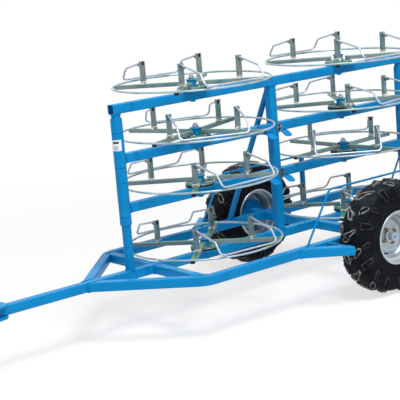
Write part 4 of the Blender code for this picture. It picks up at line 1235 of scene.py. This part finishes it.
@dataclass
class Spindle:
    """The stack that a reel turns on: base disc, friction disc, flanged cap and nut."""

    shop: Workshop
    base: float = 0.080
    base_height: float = 0.006
    friction: float = 0.0795
    friction_height: float = 0.0102
    shaft: float = 0.0258
    cap: float = 0.0315
    cap_low: float = 0.0555
    cap_height: float = 0.0065
    nut: float = 0.0165
    nut_height: float = 0.014

    def painted(self, low: float = 0.0) -> list[bmesh.types.BMesh]:
        """The painted steel of the stack, about its own axis."""
        return [turned(self.base, low, self.base_height, 56, 0.001),
                turned(self.shaft, 0.002, self.cap_low + 0.001, 40, 0.0015),
                turned(self.cap, self.cap_low, self.cap_low + self.cap_height, 40, 0.0015)]

    def disc(self) -> bmesh.types.BMesh:
        """The black friction disc."""
        low = self.base_height - 0.0002
        return ring(self.shaft, self.friction, low, low + self.friction_height, 64, 0.0015)

    def hardware(self) -> list[bmesh.types.BMesh]:
        """The washer, hexagon nut and stud end on top."""
        low = self.cap_low + self.cap_height - 0.0002
        return [turned(0.0150, low, low + 0.0025, 28, 0.0006),
                turned(self.nut, low + 0.0025, low + self.nut_height, 6, 0.0022, math.radians(20)),
                turned(0.0120, low, low + 0.0240, 24, 0.006)]

    def stand(self, tag: str, place: Matrix, body: str, stands_for: Sequence[str] = ()) -> None:
        """Make the stack's pieces at a station.

        Args:
            tag: end of the pieces' names.
            place: transform of the station.
            body: CAD body that carries the stack.
            stands_for: CAD nodes that the painted piece replaces.
        """
        mount, palette = Mount(self.shop, tag, body, place), self.shop.palette
        mount.shape("spindle_stack", self.painted(0.0 if stands_for else -0.0005), palette.paint,
                    replaces=stands_for, slot="blue_paint")
        mount.shape("friction_disc", [self.disc()], palette.rubber)
        mount.shape("spindle_nut", self.hardware(), palette.nut, angle=25)


@dataclass
class SwingArm(Assembly):
    """An arm that turns on a round mast, with its sleeve and free end."""

    sleeve: float = 0.031
    bore: float = 0.0258
    end_gap: float = 0.002

    def build(self, bay: Bay, level: int) -> None:
        """Make one arm with its reel station."""
        p, shop = self.plan, self.shop
        top, mast, toward = p.top(level), p.mast_x(bay), bay.value
        end = p.middle_mast_x - toward * (p.tube / 2 + self.end_gap)
        z = top - p.tube / 2
        sleeve = ring(self.bore, self.sleeve, top - p.tube - p.sleeve_below + p.running_gap,
                      top + p.sleeve_above - p.running_gap, 40, 0.0012)
        tube = Tube().run([(mast + toward * (self.bore + 0.002), 0, z), (end, 0, z)])
        station = p.reel_x(bay)
        boss = station_boss(station, top - p.tube)
        name, body = f"arm_{bay.label}_{level}", f"swing_arm_{bay.label}_{level}"
        shop.painted(f"swing_{name}_tube", [moved(sleeve, (mast, 0, 0)), tube, boss], name,
                     body=body)
        Spindle(shop).stand(f"{bay.label}_{level}", Matrix.Translation((station, 0, top)), body)
        weld = [(mast + toward * math.sqrt((self.sleeve + 0.001) ** 2 - y * y), y, v)
                for _, y, v in square_line((0, 0, z), (0, 0.022, 0), (0, 0, 0.025))]
        shop.painted_beads(f"arm_weld_{bay.label}_{level}", [weld], body)


@dataclass
class LinchPin(Assembly):
    """The spring pin that holds a rear arm to the middle mast's tab, with its oval ring."""

    radius: float = 0.0045
    length: float = 0.034
    from_end: float = 0.008
    ring_ahead: float = 0.013
    ring_width: float = 0.036
    ring_height: float = 0.060
    ring_drop: float = 0.002
    rod: float = 0.0032

    def build(self, level: int) -> None:
        """Make one pin."""
        p, shop = self.plan, self.shop
        x = p.middle_mast_x - p.tube / 2 - SwingArm.end_gap - self.from_end
        y, z = p.tube / 2 + p.gap, p.top(level) - p.tube / 2
        shank, head = (moved(s, turn=math.radians(-90), axis="X")
                       for s in (turned(self.radius, -self.length, 0.0025, 20, 0.0015),
                                 turned(0.0085, 0.0022, 0.0105, 20, 0.0025)))
        half_w, half_h = self.ring_width / 2 - self.rod, self.ring_height / 2 - self.rod
        rings = []
        for angle in [math.tau * k / 40 for k in range(40)]:
            point = Vector((self.ring_ahead + half_w * math.cos(angle), 2 * self.rod,
                            half_h * math.sin(angle) - self.ring_drop))
            out = Vector((math.cos(angle) / half_w, 0, math.sin(angle) / half_h)).normalized()
            rings.append([point + out * a + Vector((0, b, 0)) for a, b in circle(self.rod, 10)])
        oval = loft(rings, closed=True)
        bar = sweep([(self.ring_ahead - half_w, 2 * self.rod, 0),
                     (self.ring_ahead + half_w, 2 * self.rod, 0)], circle(0.0035, 14))
        shop.shape(f"linch_pin_ring_{level}",
                   [moved(s, (x, y, z)) for s in (shank, head, oval, bar)], shop.palette.pin,
                   f"arm_pin_{level}", replaces=[f"linch_pin_{level}"], slot="bright_rod")


@dataclass
class Reel:
    """A spinning reel: rim, four spokes on a plate, and four forked uprights."""

    shop: Workshop
    rim: float = 0.426
    rod: float = 0.005
    rod_z: float = 0.049
    spoke: float = 0.025
    spoke_height: float = 0.022
    spoke_low: float = 0.0295
    spoke_corner: float = 0.003
    spoke_start: float = 0.040
    bore: float = 0.0275
    plate: float = 0.0805
    plate_low: float = 0.0166
    plate_high: float = 0.0210
    upright_at: float = 0.262
    width: float = 0.028
    depth: float = 0.019
    top: float = 0.174
    fork: float = 0.012
    fork_depth: float = 0.022
    spacer_length: float = 0.038
    spacer_width: float = 0.015
    spacer_height: float = 0.0085
    foot: float = 0.003
    foot_margin: float = 0.0025
    liner: Point = (-0.0090, -0.0072)       # X of the black plate's back and front: painted shade in the fork
    spoke_wall: float = 0.002
    bite: float = 0.0004                    # how far a fitted piece runs into its neighbour
    bail_turns: Point = (math.radians(45), math.radians(-45))   # on even and odd spokes

    @property
    def spoke_top(self) -> float:
        """Top of the spokes above the beam."""
        return self.spoke_low + self.spoke_height

    def spoke_tube(self) -> bmesh.types.BMesh:
        """One spoke along X."""
        z = self.spoke_low + self.spoke_height / 2
        return sweep([(self.spoke_start, 0, z), (self.rim - self.rod + 0.0008, 0, z)],
                     rounded_rectangle(self.spoke, self.spoke_height, self.spoke_corner),
                     bore=rounded_rectangle(self.spoke - 2 * self.spoke_wall,
                                            self.spoke_height - 2 * self.spoke_wall, 0.0015))

    def saddle(self) -> bmesh.types.BMesh:
        """The packing strip between the plate and a spoke's inner end."""
        half = self.spoke / 2 - 0.001
        return block((self.spoke_start, -half, self.plate_high - self.bite),
                     (self.plate - 0.010, half, self.spoke_low + self.bite))

    def end_plug(self) -> bmesh.types.BMesh:
        """The black plug in a spoke's outer end."""
        z = self.spoke_low + self.spoke_height / 2
        end = self.rim - self.rod
        return sweep([(end - 0.004, 0, z), (end + 0.003, 0, z)],
                     rounded_rectangle(self.spoke - 0.0006, self.spoke_height - 0.0006, 0.003))

    def upright(self) -> list[bmesh.types.BMesh]:
        """One upright about its own axis: a bar with a forked top on its foot plate."""
        low = self.spoke_top + self.spacer_height
        floor = self.top - self.fork_depth
        shapes = [sweep([(0, 0, low + self.foot - 0.0005), (0, 0, floor)],
                        rounded_rectangle(self.depth, self.width, 0.0028), up=(0, 1, 0))]
        ear = (self.width - self.fork) / 2
        for side in (1, -1):
            middle = side * (self.fork / 2 + ear / 2)
            shapes.append(sweep([(0, middle, floor - 0.0005), (0, middle, self.top)],
                                rounded_rectangle(ear, self.depth, 0.0018), up=(1, 0, 0)))
        x, y = self.depth / 2 + self.foot_margin, self.width / 2 + self.foot_margin
        shapes.append(block((-x, -y, low), (x, y, low + self.foot), 0.0010))
        return shapes

    def fork_liner(self) -> list[bmesh.types.BMesh]:
        """A black plate behind the hinge in an upright's fork, about the upright's axis: painted
        shade in the slot.
        """
        half = self.fork / 2 - 0.0002
        return [block((self.liner[0], -half, self.top - self.fork_depth - 0.0005),
                      (self.liner[1], half, self.top - 0.0015), 0.0005)]

    def on_two_spokes(self, make: Callable[[], list[bmesh.types.BMesh]]
                      ) -> list[bmesh.types.BMesh]:
        """Shapes made about an upright's axis, stood on an even spoke and the odd one after it."""
        return [moved(moved(shape, (self.upright_at, 0, 0), turn), turn=spin)
                for spin, turn in zip((0.0, math.radians(90)), self.bail_turns)
                for shape in make()]

    def spacer(self) -> bmesh.types.BMesh:
        """The bar across a spoke that an upright stands on."""
        bar = sweep([(0, -self.spacer_length / 2, 0), (0, self.spacer_length / 2, 0)],
                    rounded_rectangle(self.spacer_width, self.spacer_height + 0.003, 0.0045))
        middle = self.spoke_top + self.spacer_height / 2 - 0.001
        return moved(bar, (self.upright_at, 0, middle))

    def screws(self) -> list[bmesh.types.BMesh]:
        """The two hexagon screws beside a spoke that hold the plate."""
        return [moved(turned(0.0080, self.plate_high - self.bite, self.plate_high + 0.0060, 6,
                             0.0012, math.radians(11)), (0.060, side * 0.0235, 0))
                for side in (1, -1)]

    def rim_ring(self) -> bmesh.types.BMesh:
        """The round rod rim."""
        section = [(self.rim + a, self.rod_z + b) for a, b in circle(self.rod + 0.0005, 12)]
        return revolve(section, 96, loop=True)

    def build(self, tag: str, place: Matrix) -> None:
        """Make one reel's pieces at its place."""
        shop, palette = self.shop, self.shop.palette
        mount = Mount(shop, tag, f"spinning_reel_{tag}", place)
        centre = ring(self.bore, self.plate, self.plate_low, self.plate_high, 64, 0.001)
        spokes = shop.repeat.round([self.spoke_tube(), self.saddle()], 4, palette.zinc)
        uprights = shop.repeat.round(self.on_two_spokes(self.upright), 2, palette.zinc)
        mount.piece("reel_spokes", merged([spokes, uprights, as_mesh([centre])]), palette.zinc,
                    replaces=[f"reel_{tag}"], slot="zinc")
        mount.shape("reel_rim", [self.rim_ring()], palette.rim_rod, slot="bright_rod")
        mount.copies("spoke_plugs", [self.end_plug()], 4, palette.rubber)
        mount.copies("upright_spacers", [self.spacer()], 4, palette.weld)
        # Black plates in the forks paint the shade in the slots.
        mount.copies("fork_liners", self.on_two_spokes(self.fork_liner), 2, palette.rubber)
        mount.copies("plate_screws", self.screws(), 4, palette.nut, angle=25)
        mount.piece("reel_welds", shop.repeat.beads(self.weld_lines(), palette.weld, 0.0030),
                    palette.weld, angle=60)

    def weld_lines(self) -> list[list[Vector]]:
        """Where the uprights meet their foot plates and the spokes their plate and rim."""
        lines = []
        foot_top = self.spoke_top + self.spacer_height + self.foot
        foot = square_line((0, 0, foot_top), (self.depth / 2, 0, 0), (0, self.width / 2, 0))
        for quarter in range(4):
            spin = Matrix.Rotation(math.radians(90) * quarter, 4, "Z")
            stand = (Matrix.Translation((self.upright_at, 0, 0))
                     @ Matrix.Rotation(self.bail_turns[quarter % 2], 4, "Z"))
            lines.append([spin @ stand @ Vector(corner) for corner in foot])
            for side in (1, -1):
                edge = side * self.spoke / 2 * 1.02
                lines.append([spin @ Vector((r, edge, self.plate_high + 0.001))
                              for r in (self.spoke_start + 0.002, self.plate - 0.012)])
                lines.append([spin @ Vector((self.rim - self.rod, side * y, self.spoke_top))
                              for y in (0.001, 0.011)])
        return lines


@dataclass
class Bail:
    """A hinged wire guard over a reel's rim: bent rod, stop lugs and hinge rivets."""

    shop: Workshop
    half: float = 0.262 * math.cos(math.radians(45))
    rod: float = 0.005
    knee: Point = (0.1717, -0.040)
    corner: Point = (0.2167, -0.104)
    bend: float = 0.024
    lug_start: float = 0.0098
    lug_length: float = 0.034
    lug_drop: float = 0.022
    lug_half_width: float = 0.0055

    def rod_line(self) -> list[Vector]:
        """The rod's centre line, from one hinge to the other."""
        return rounded_path([(0, -self.half, 0), (self.knee[0], -self.half, self.knee[1]),
                             (self.corner[0], -self.half, self.corner[1]),
                             (self.corner[0], self.half, self.corner[1]),
                             (self.knee[0], self.half, self.knee[1]), (0, self.half, 0)],
                            self.bend, 7)

    def lugs(self) -> list[bmesh.types.BMesh]:
        """The stop lugs under the rod beside the hinges, about the hinge's middle."""
        drop, start = self.knee[1] / self.knee[0], self.lug_start
        end, low = start + self.lug_length, start * drop - self.lug_drop
        outline = [(start, start * drop), (end, end * drop), (end - 0.004, end * drop - 0.009),
                   (start + 0.010, low), (start, low)]
        return [moved(plate(outline, -self.lug_half_width, self.lug_half_width, 0.0012),
                      (0, side, 0), math.radians(90), "X")
                for side in (-self.half, self.half)]

    def bolts(self) -> list[bmesh.types.BMesh]:
        """The hinge rivets through the uprights' forks."""
        outer = 0.0140
        return [moved(shape, (0, side * self.half, 0), math.radians(90) * side, "X")
                for side in (-1, 1)
                for shape in (turned(0.0035, -outer - 0.001, outer + 0.001, 14),
                              turned(0.0055, outer - 0.0002, outer + 0.0030, 16, 0.0012),
                              turned(0.0055, -outer - 0.0030, -outer + 0.0002, 16, 0.0012))]

    def build(self, tag: str, reel: str, place: Matrix) -> None:
        """Make one bail, and its rivets on the reel that carries it."""
        palette = self.shop.palette
        mount = Mount(self.shop, tag, f"hinged_bail_{tag}", place)
        mount.shape("bail_rod", [sweep(self.rod_line(), circle(self.rod + 0.0004, 12))],
                    palette.rod, replaces=[f"bail_{tag}"], slot="bright_rod")
        mount.shape("stop_lugs", self.lugs(), palette.pin, slot="bright_rod")
        mount.body = f"spinning_reel_{reel}"
        mount.shape("hinge_bolts", self.bolts(), palette.nut, angle=25)


@dataclass
class ReelBay(Assembly):
    """The four reels of one bay with everything on them."""

    def build(self, bay: Bay) -> None:
        """Make the bay's stations, taking each reel's turn from its bail's hinge."""
        joints = {joint["name"]: joint for joint in frame["joints"]}
        for level in range(1, 5):
            tag = f"{bay.label}_{level}"
            x, top = self.plan.reel_x(bay), self.plan.top(level)
            axis = joints[f"bail_hinge_{tag}a"]["axis"]
            turn = math.atan2(axis[0], -axis[1]) - math.radians(45)
            place = Matrix.Translation((x, 0, top)) @ Matrix.Rotation(turn, 4, "Z")
            if level in (2, 3):
                SwingArm(self.shop, self.plan).build(bay, level)
            else:
                Spindle(self.shop).stand(tag, Matrix.Translation((x, 0, top + self.plan.gap)),
                                         "chassis", [f"spindle_{tag}"])
            Reel(self.shop).build(tag, place)
            for letter, angle in (("a", 45), ("b", 225)):
                hinge = Vector(joints[f"bail_hinge_{tag}{letter}"]["pos_m"]) - ORIGIN
                swing = Matrix.Rotation(turn + math.radians(angle), 4, "Z")
                out = swing @ Vector((1, 0, 0))
                middle = Vector((x, 0, hinge.z)) + out * Bail(self.shop).half
                Bail(self.shop).build(f"{tag}{letter}", tag, Matrix.Translation(middle) @ swing)


# ---------------------------------------------------------------- wheels

@dataclass
class Tyre:
    """A lugged field tyre about Z, with its outboard side up.

    Lug outlines are points round the tyre, in degrees, and over it from the crown's middle.
    """

    skin: tuple[Point, ...] = ((0.3180, 0.0), (0.3175, 0.020), (0.3160, 0.040), (0.3120, 0.055),
                               (0.3050, 0.068), (0.2950, 0.080), (0.2830, 0.088),
                               (0.2580, 0.0925), (0.2000, 0.0900))
    tread: float = 0.011
    wall_tread: float = 0.0075
    half: float = 0.0915
    lip: float = 0.150
    bead: float = 0.1385
    bead_in: float = 0.062
    bead_out: float = 0.0845
    pitches: int = 8
    phase: float = 4.5
    long_lug: tuple[Point, ...] = ((0.0, -0.032), (8.5, -0.028), (10.0, 0.0), (12.5, 0.025),
                                   (15.5, 0.050), (12.0, 0.053), (7.5, 0.027), (0.5, 0.002))
    short_lug: tuple[Point, ...] = ((29.5, 0.046), (34.0, 0.042), (38.0, 0.053), (40.5, 0.072),
                                    (40.0, 0.090), (36.8, 0.089), (31.5, 0.066))
    long_shoulder: tuple[Point, ...] = ((14.5, 0.074), (22.0, 0.074), (24.2, 0.120),
                                        (23.0, 0.158), (18.5, 0.158), (16.5, 0.120))
    short_shoulder: tuple[Point, ...] = ((37.5, 0.101), (42.5, 0.101), (45.8, 0.130),
                                         (46.0, 0.157), (42.5, 0.157), (40.0, 0.130))
    knob: tuple[Point, ...] = ((26.0, 0.010), (29.0, 0.008), (30.5, 0.020), (28.0, 0.024))
    worn_edge: float = 0.0055
    sunk: float = 0.0045
    shoulder: float = 0.055         # over this distance, and as much again, the lugs get lower

    def on_skin(self, along: float, depth: float = 0.0) -> Point:
        """Radius and distance from the middle plane at a distance over the tyre.

        Args:
            along: distance over the skin from the crown's middle, negative inboard.
            depth: distance in from the skin.

        Returns:
            The radius and the signed distance from the middle plane.
        """
        sign, rest = (1 if along >= 0 else -1), abs(along)
        for (r0, y0), (r1, y1) in zip(self.skin, self.skin[1:]):
            length = math.hypot(r1 - r0, y1 - y0)
            if rest <= length or (r1, y1) == self.skin[-1]:
                break
            rest -= length
        share = rest / length
        lean_r, lean_y = (y1 - y0) / length, (r0 - r1) / length
        return (r0 + (r1 - r0) * share - depth * lean_r,
                sign * (y0 + (y1 - y0) * share - depth * lean_y))

    def depth(self, along: float) -> float:
        """Height of the lugs at a distance over the tyre."""
        share = min(max((abs(along) - self.shoulder) / self.shoulder, 0.0), 1.0)
        return self.tread + (self.wall_tread - self.tread) * share

    def casing(self) -> bmesh.types.BMesh:
        """The casing between and under the lugs, with open beads."""
        side = [self.on_skin(0.012 * k, self.depth(0.012 * k)) for k in range(1, 14)]
        side += [(0.207, self.half - 0.0058), (0.204, self.half - 0.0040),
                 (0.198, self.half - 0.0040), (0.195, self.half - 0.0060),
                 (0.176, self.half - 0.0064), (0.174, self.half - 0.0050),
                 (0.170, self.half - 0.0050), (0.168, self.half - 0.0066),
                 (self.lip + 0.0006, self.bead_out), (self.bead + 0.0003, self.bead_out),
                 (self.bead + 0.0003, self.bead_in), (0.200, self.half - 0.022),
                 (0.255, self.half - 0.024), (0.280, 0.050), (0.288, 0.020)]
        profile = side + [(r, -y) for r, y in reversed(side)]
        profile.insert(0, self.on_skin(0.0, self.tread))
        return revolve(profile, 80, loop=True)

    def raised(self, outline: Sequence[Point], wear: float
               ) -> tuple[bmesh.types.BMesh, list[float]]:
        """One lug: sloped sides, a raised border and a sunk middle.

        Args:
            outline: the lug's edge, counter-clockwise, in degrees and metres.
            wear: how far the border is worn.

        Returns:
            The shape and the wear of each of its points.
        """
        crown = self.skin[0][0]
        flat = [Vector((math.radians(a) * crown, s)) for a, s in outline]
        inward = []
        for k in range(len(flat)):
            before = (flat[k] - flat[k - 1]).normalized()
            after = (flat[(k + 1) % len(flat)] - flat[k]).normalized()
            normal = Vector((-before.y - after.y, before.x + after.x)).normalized()
            inward.append(normal / max(normal.dot(Vector((-after.y, after.x))), 0.5))
        marks, rows = [], []
        # each row: how far inside the outline, depth in lug heights or None for sunk, and wear
        for inset, sink, worn in ((-0.004, 1.15, 0.0), (0.0, 0.0, wear),
                                  (self.worn_edge, 0.0, wear), (self.worn_edge * 1.25, None, 0.0)):
            row = []
            for point, step in zip(flat, inward):
                x, along = point + step * inset
                low = self.sunk if sink is None else sink * self.depth(along)
                radius, y = self.on_skin(along, low)
                row.append((radius * math.cos(-x / crown), radius * math.sin(-x / crown), y))
                marks.append(worn)
            rows.append(row)
        return loft(rows), marks

    def inboard(self, outline: Sequence[Point], shorten: bool) -> list[Point]:
        """An outline's mirror image on the inboard side, half a pitch on.

        Args:
            outline: the outboard outline.
            shorten: True for a lug that ends nearer the crown's middle than its twin.

        Returns:
            The inboard outline, counter-clockwise.
        """
        half_pitch, start, share = 180.0 / self.pitches, 0.008, 0.70
        return [(a + half_pitch, start - (s - outline[0][1]) * share if shorten else -s)
                for a, s in reversed(outline)]

    def lug_mesh(self) -> bpy.types.Mesh:
        """The lugs of one pitch on both sides, with their worn edges marked."""
        outlines = [(self.long_lug, 1.0), (self.short_lug, 0.75), (self.long_shoulder, 0.16),
                    (self.short_shoulder, 0.12), (self.knob, 0.4)]
        outlines += [(self.inboard(outline, outline is self.long_lug), wear)
                     for outline, wear in outlines]
        shapes, marks = [], []
        for outline, wear in outlines:
            shape, worn = self.raised([(a + self.phase, s) for a, s in outline], wear)
            shapes.append(shape)
            marks += worn
        mesh = as_mesh(shapes)
        mesh.attributes.new("worn", "FLOAT", "POINT").data.foreach_set("value", marks)
        return mesh


@dataclass
class RoadWheel(Assembly):
    """One road wheel: tyre, steel rim, hub, studs, grease cap and valve."""

    rim_half: float = 0.088
    lip: float = 0.150
    seat: float = 0.1380
    drop: float = 0.122
    disc_out: float = 0.014
    stud_circle: float = 0.046
    first_stud: float = math.radians(-62)
    valve_at: float = 0.109
    valve_angle: float = math.radians(59)

    def barrel(self) -> bmesh.types.BMesh:
        """The rim barrel with curled lips and a drop centre."""
        h = self.rim_half
        outer = [(self.lip - 0.001, h + 0.001), (self.lip + 0.0004, h - 0.0006),
                 (self.lip - 0.0002, h - 0.0032), (self.seat + 0.003, h - 0.0036),
                 (self.seat, h - 0.0060), (self.seat, h - 0.030), (self.drop + 0.003, h - 0.040),
                 (self.drop, h - 0.046)]
        inner = [(self.drop - 0.003, h - 0.047), (self.drop - 0.001, h - 0.039),
                 (self.seat - 0.003, h - 0.029), (self.seat - 0.003, h - 0.006),
                 (self.seat - 0.0005, h - 0.0015), (self.lip - 0.006, h + 0.0006)]
        profile = outer + [(r, -y) for r, y in reversed(outer)]
        profile += [(r, -y) for r, y in reversed(inner)] + inner
        return revolve(profile, 72, loop=True)

    def disc(self) -> bmesh.types.BMesh:
        """The pressed disc, with a raised ring outside the studs."""
        face = [(0.0358, 0.0), (0.066, 0.0), (0.071, 0.0015), (0.078, 0.0055), (0.086, 0.0060),
                (0.094, 0.0030), (0.100, -0.0010), (0.108, -0.0015), (0.114, 0.004),
                (0.1195, 0.012)]
        outer = [(r, self.disc_out + y) for r, y in face]
        back = [(r, y - 0.004) for r, y in reversed(outer)]
        return revolve(outer + back, 72, loop=True)

    def hub_shape(self) -> bmesh.types.BMesh:
        """The painted hub, from its inboard plate to the boss."""
        plate_y = -0.028
        return revolve([(0, 0.021), (0.0160, 0.021), (0.0160, plate_y), (0.0815, plate_y),
                        (0.0825, plate_y + 0.001), (0.0825, plate_y + 0.007),
                        (0.0815, plate_y + 0.008), (0.040, plate_y + 0.008), (0.040, 0.0007),
                        (0.068, 0.0007), (0.068, 0.0087), (0.035, 0.0087), (0.035, 0.0250),
                        (0.034, 0.0260), (0, 0.0260)], 48)

    def build(self, side: Side) -> None:
        """Make one wheel's pieces."""
        shop, palette, p = self.shop, self.shop.palette, self.plan
        tag = side.label
        mount = Mount(shop, tag, f"road_wheel_{tag}", (
            Matrix.Translation((p.axle_x, side.value * p.wheel_y, p.axle_z))
            @ Matrix.Rotation(math.radians(-90 * side.value), 4, "X")))
        tyre = Tyre()
        lugs = shop.repeat.run(shop.repeat.ring, tyre.lug_mesh(), Count=tyre.pitches, Phase=0.0,
                               Material=palette.tyre)
        mount.piece("tyre_casing", merged([as_mesh([tyre.casing()]), lugs]), palette.tyre,
                    replaces=[f"tyre_{tag}"], slot="tyre", angle=32)
        mount.shape("wheel_rim", [self.barrel(), self.disc()], palette.silver,
                    replaces=[f"wheel_{tag}"], slot="rim")
        mount.shape("wheel_hub", [self.hub_shape()], palette.paint, replaces=[f"hub_{tag}"],
                    slot="blue_paint")
        cap = [revolve([(0, 0.0255), (0.0340, 0.0255), (0.0340, 0.0142), (0.0355, 0.0142),
                        (0.0355, 0.0270), (0.0335, 0.0290), (0.0252, 0.0310), (0.0250, 0.0540),
                        (0.0235, 0.0570), (0, 0.0570)], 40),
               turned(0.0205, 0.0565, 0.0598, 8, 0.0010)]
        mount.shape("grease_cap", cap, palette.silver)
        square = block((-0.008, -0.008, 0.0590), (0.008, 0.008, 0.0606), 0.0006)
        mount.shape("cap_square", [square], palette.paint)
        stud = [moved(s, (self.stud_circle, 0, 0))
                for s in (turned(0.0092, 0.0138, 0.0250, 6, 0.0015),
                          turned(0.0052, 0.0130, 0.0330, 16, 0.0012),
                          turned(0.0108, 0.0138, 0.0158, 20))]
        mount.copies("wheel_nuts", stud, 4, palette.yellow, self.first_stud, angle=25)
        bolt = [moved(turned(0.0065, -0.0325, -0.0278, 6, 0.0010), (0.066, 0, 0))]
        mount.copies("hub_plate_bolts", bolt, 4, palette.paint, angle=25)
        stem = [revolve([(0, 0), (0.0072, 0), (0.0078, 0.004), (0.0052, 0.009), (0.0044, 0.022),
                         (0.0040, 0.023), (0.0040, 0.034), (0, 0.034)], 16)]
        mount.place = (mount.place @ (Matrix.Rotation(self.valve_angle, 4, "Z")
                                      @ Matrix.Translation((self.valve_at, 0, self.disc_out))
                                      @ Matrix.Rotation(math.radians(-18), 4, "Y")))
        mount.shape("valve_stem", stem, palette.rubber)


# ---------------------------------------------------------------- studio

@dataclass
class Studio:
    """Camera, lamps, world and the pale floor."""

    place: Sequence[float] = (4.2266, 5.2523, 1.9972)
    yaw: float = math.radians(231.977)
    pitch: float = math.radians(-11.69)
    roll: float = math.radians(-4.804)
    lens: float = 112.545
    world_light: float = 0.45
    aim: Sequence[float] = (-0.2, 0.0, 0.5)
    floor_radius: float = 70.0

    def camera(self) -> None:
        """The camera at the photograph's viewing angle."""
        data = bpy.data.cameras.new("camera")
        data.lens = self.lens
        data.sensor_width = 36.0
        data.clip_start, data.clip_end = 0.05, 300.0
        view = Vector((math.cos(self.pitch) * math.cos(self.yaw),
                       math.cos(self.pitch) * math.sin(self.yaw), math.sin(self.pitch)))
        right = view.cross(Vector((0, 0, 1))).normalized()
        up = right.cross(view)
        turned_right = right * math.cos(self.roll) + up * math.sin(self.roll)
        turned_up = up * math.cos(self.roll) - right * math.sin(self.roll)
        rotation = Matrix((turned_right, turned_up, -view)).transposed()
        camera = bpy.data.objects.new("camera", data)
        camera.matrix_world = Matrix.Translation(self.place) @ rotation.to_4x4()
        bpy.context.scene.collection.objects.link(camera)
        bpy.context.scene.camera = camera

    def light(self) -> None:
        """One broad lamp from above the left side, a weak one ahead, and a plain world."""
        world = bpy.data.worlds.new("studio")
        bpy.context.scene.world = world
        world.use_nodes = True
        world.node_tree.nodes.clear()
        graph = Graph(world.node_tree)
        rays = graph.add("ShaderNodeLightPath").outputs
        seen = graph.maths("MAXIMUM", graph.maths("MAXIMUM", rays["Is Camera Ray"],
                                                  rays["Is Glossy Ray"]),
                           rays["Is Transmission Ray"])
        plain = graph.add("ShaderNodeBackground", {"Color": (0.96, 0.98, 1.0, 1.0),
                                                   "Strength": self.world_light})
        white = graph.add("ShaderNodeBackground", {"Color": (1, 1, 1, 1), "Strength": 1.0})
        mix = graph.add("ShaderNodeMixShader", {0: seen, 1: plain.outputs[0],
                                                2: white.outputs[0]})
        graph.add("ShaderNodeOutputWorld", {0: mix.outputs[0]})
        for name, spot, size, power in (("key_lamp", (0.7, 3.6, 8.0), 3.5, 640.0),
                                        ("fill_lamp", (5.5, -1.5, 3.0), 4.0, 40.0)):
            lamp = bpy.data.lights.new(name, "AREA")
            lamp.shape, lamp.size, lamp.energy = "DISK", size, power
            thing = bpy.data.objects.new(name, lamp)
            thing.location = spot
            aim = Vector(self.aim) - Vector(spot)
            thing.rotation_euler = aim.to_track_quat("-Z", "Y").to_euler()
            bpy.context.scene.collection.objects.link(thing)

    def floor(self) -> None:
        """A pale floor that keeps the trailer's shadow and fades to white far away."""
        mesh = bpy.data.meshes.new("floor")
        shape = bmesh.new()
        bmesh.ops.create_circle(shape, cap_ends=True, segments=96, radius=self.floor_radius)
        shape.to_mesh(mesh)
        shape.free()
        floor = bpy.data.objects.new("floor", mesh)
        bpy.context.scene.collection.objects.link(floor)
        sheet = Sheet("pale_floor")
        sheet.feed(sheet.shader, {"Base Color": (0.90, 0.90, 0.90, 1.0), "Roughness": 0.9,
                                  "Specular IOR Level": 0.0})
        length = sheet.add("ShaderNodeVectorMath", {0: sheet.place["Object"]}, operation="LENGTH")
        fade = sheet.spread(length.outputs["Value"], 0.68, 1.0, 1.2, 4.5)
        rays = sheet.add("ShaderNodeLightPath").outputs
        seen = sheet.maths("MAXIMUM", rays["Is Camera Ray"], rays["Is Glossy Ray"])
        glow = sheet.add("ShaderNodeEmission")
        mix = sheet.add("ShaderNodeMixShader", {0: sheet.maths("MULTIPLY", seen, fade),
                                                1: sheet.shader.outputs[0], 2: glow.outputs[0]})
        sheet.feed(sheet.tree.nodes["Material Output"], {"Surface": mix.outputs[0]})
        mesh.materials.append(sheet.material)

    def build(self) -> None:
        """Set up the whole studio."""
        self.camera()
        self.light()
        self.floor()
        bpy.context.scene.view_settings.view_transform = "Standard"


def main() -> None:
    """Build the studio and every piece."""
    logging.basicConfig(level=logging.INFO, format="%(name)s %(message)s")
    shop, plan = Workshop(), Plan()
    Studio().build()
    Chassis(shop, plan).build()
    Superstructure(shop, plan).build()
    Hitch(shop, plan).build()
    for bay in Bay:
        ReelBay(shop, plan).build(bay)
    for level in (2, 3):
        LinchPin(shop, plan).build(level)
    for side in Side:
        RoadWheel(shop, plan).build(side)
    LOG.info("%d pieces", shop.count)


if __name__ == "__main__":
    main()
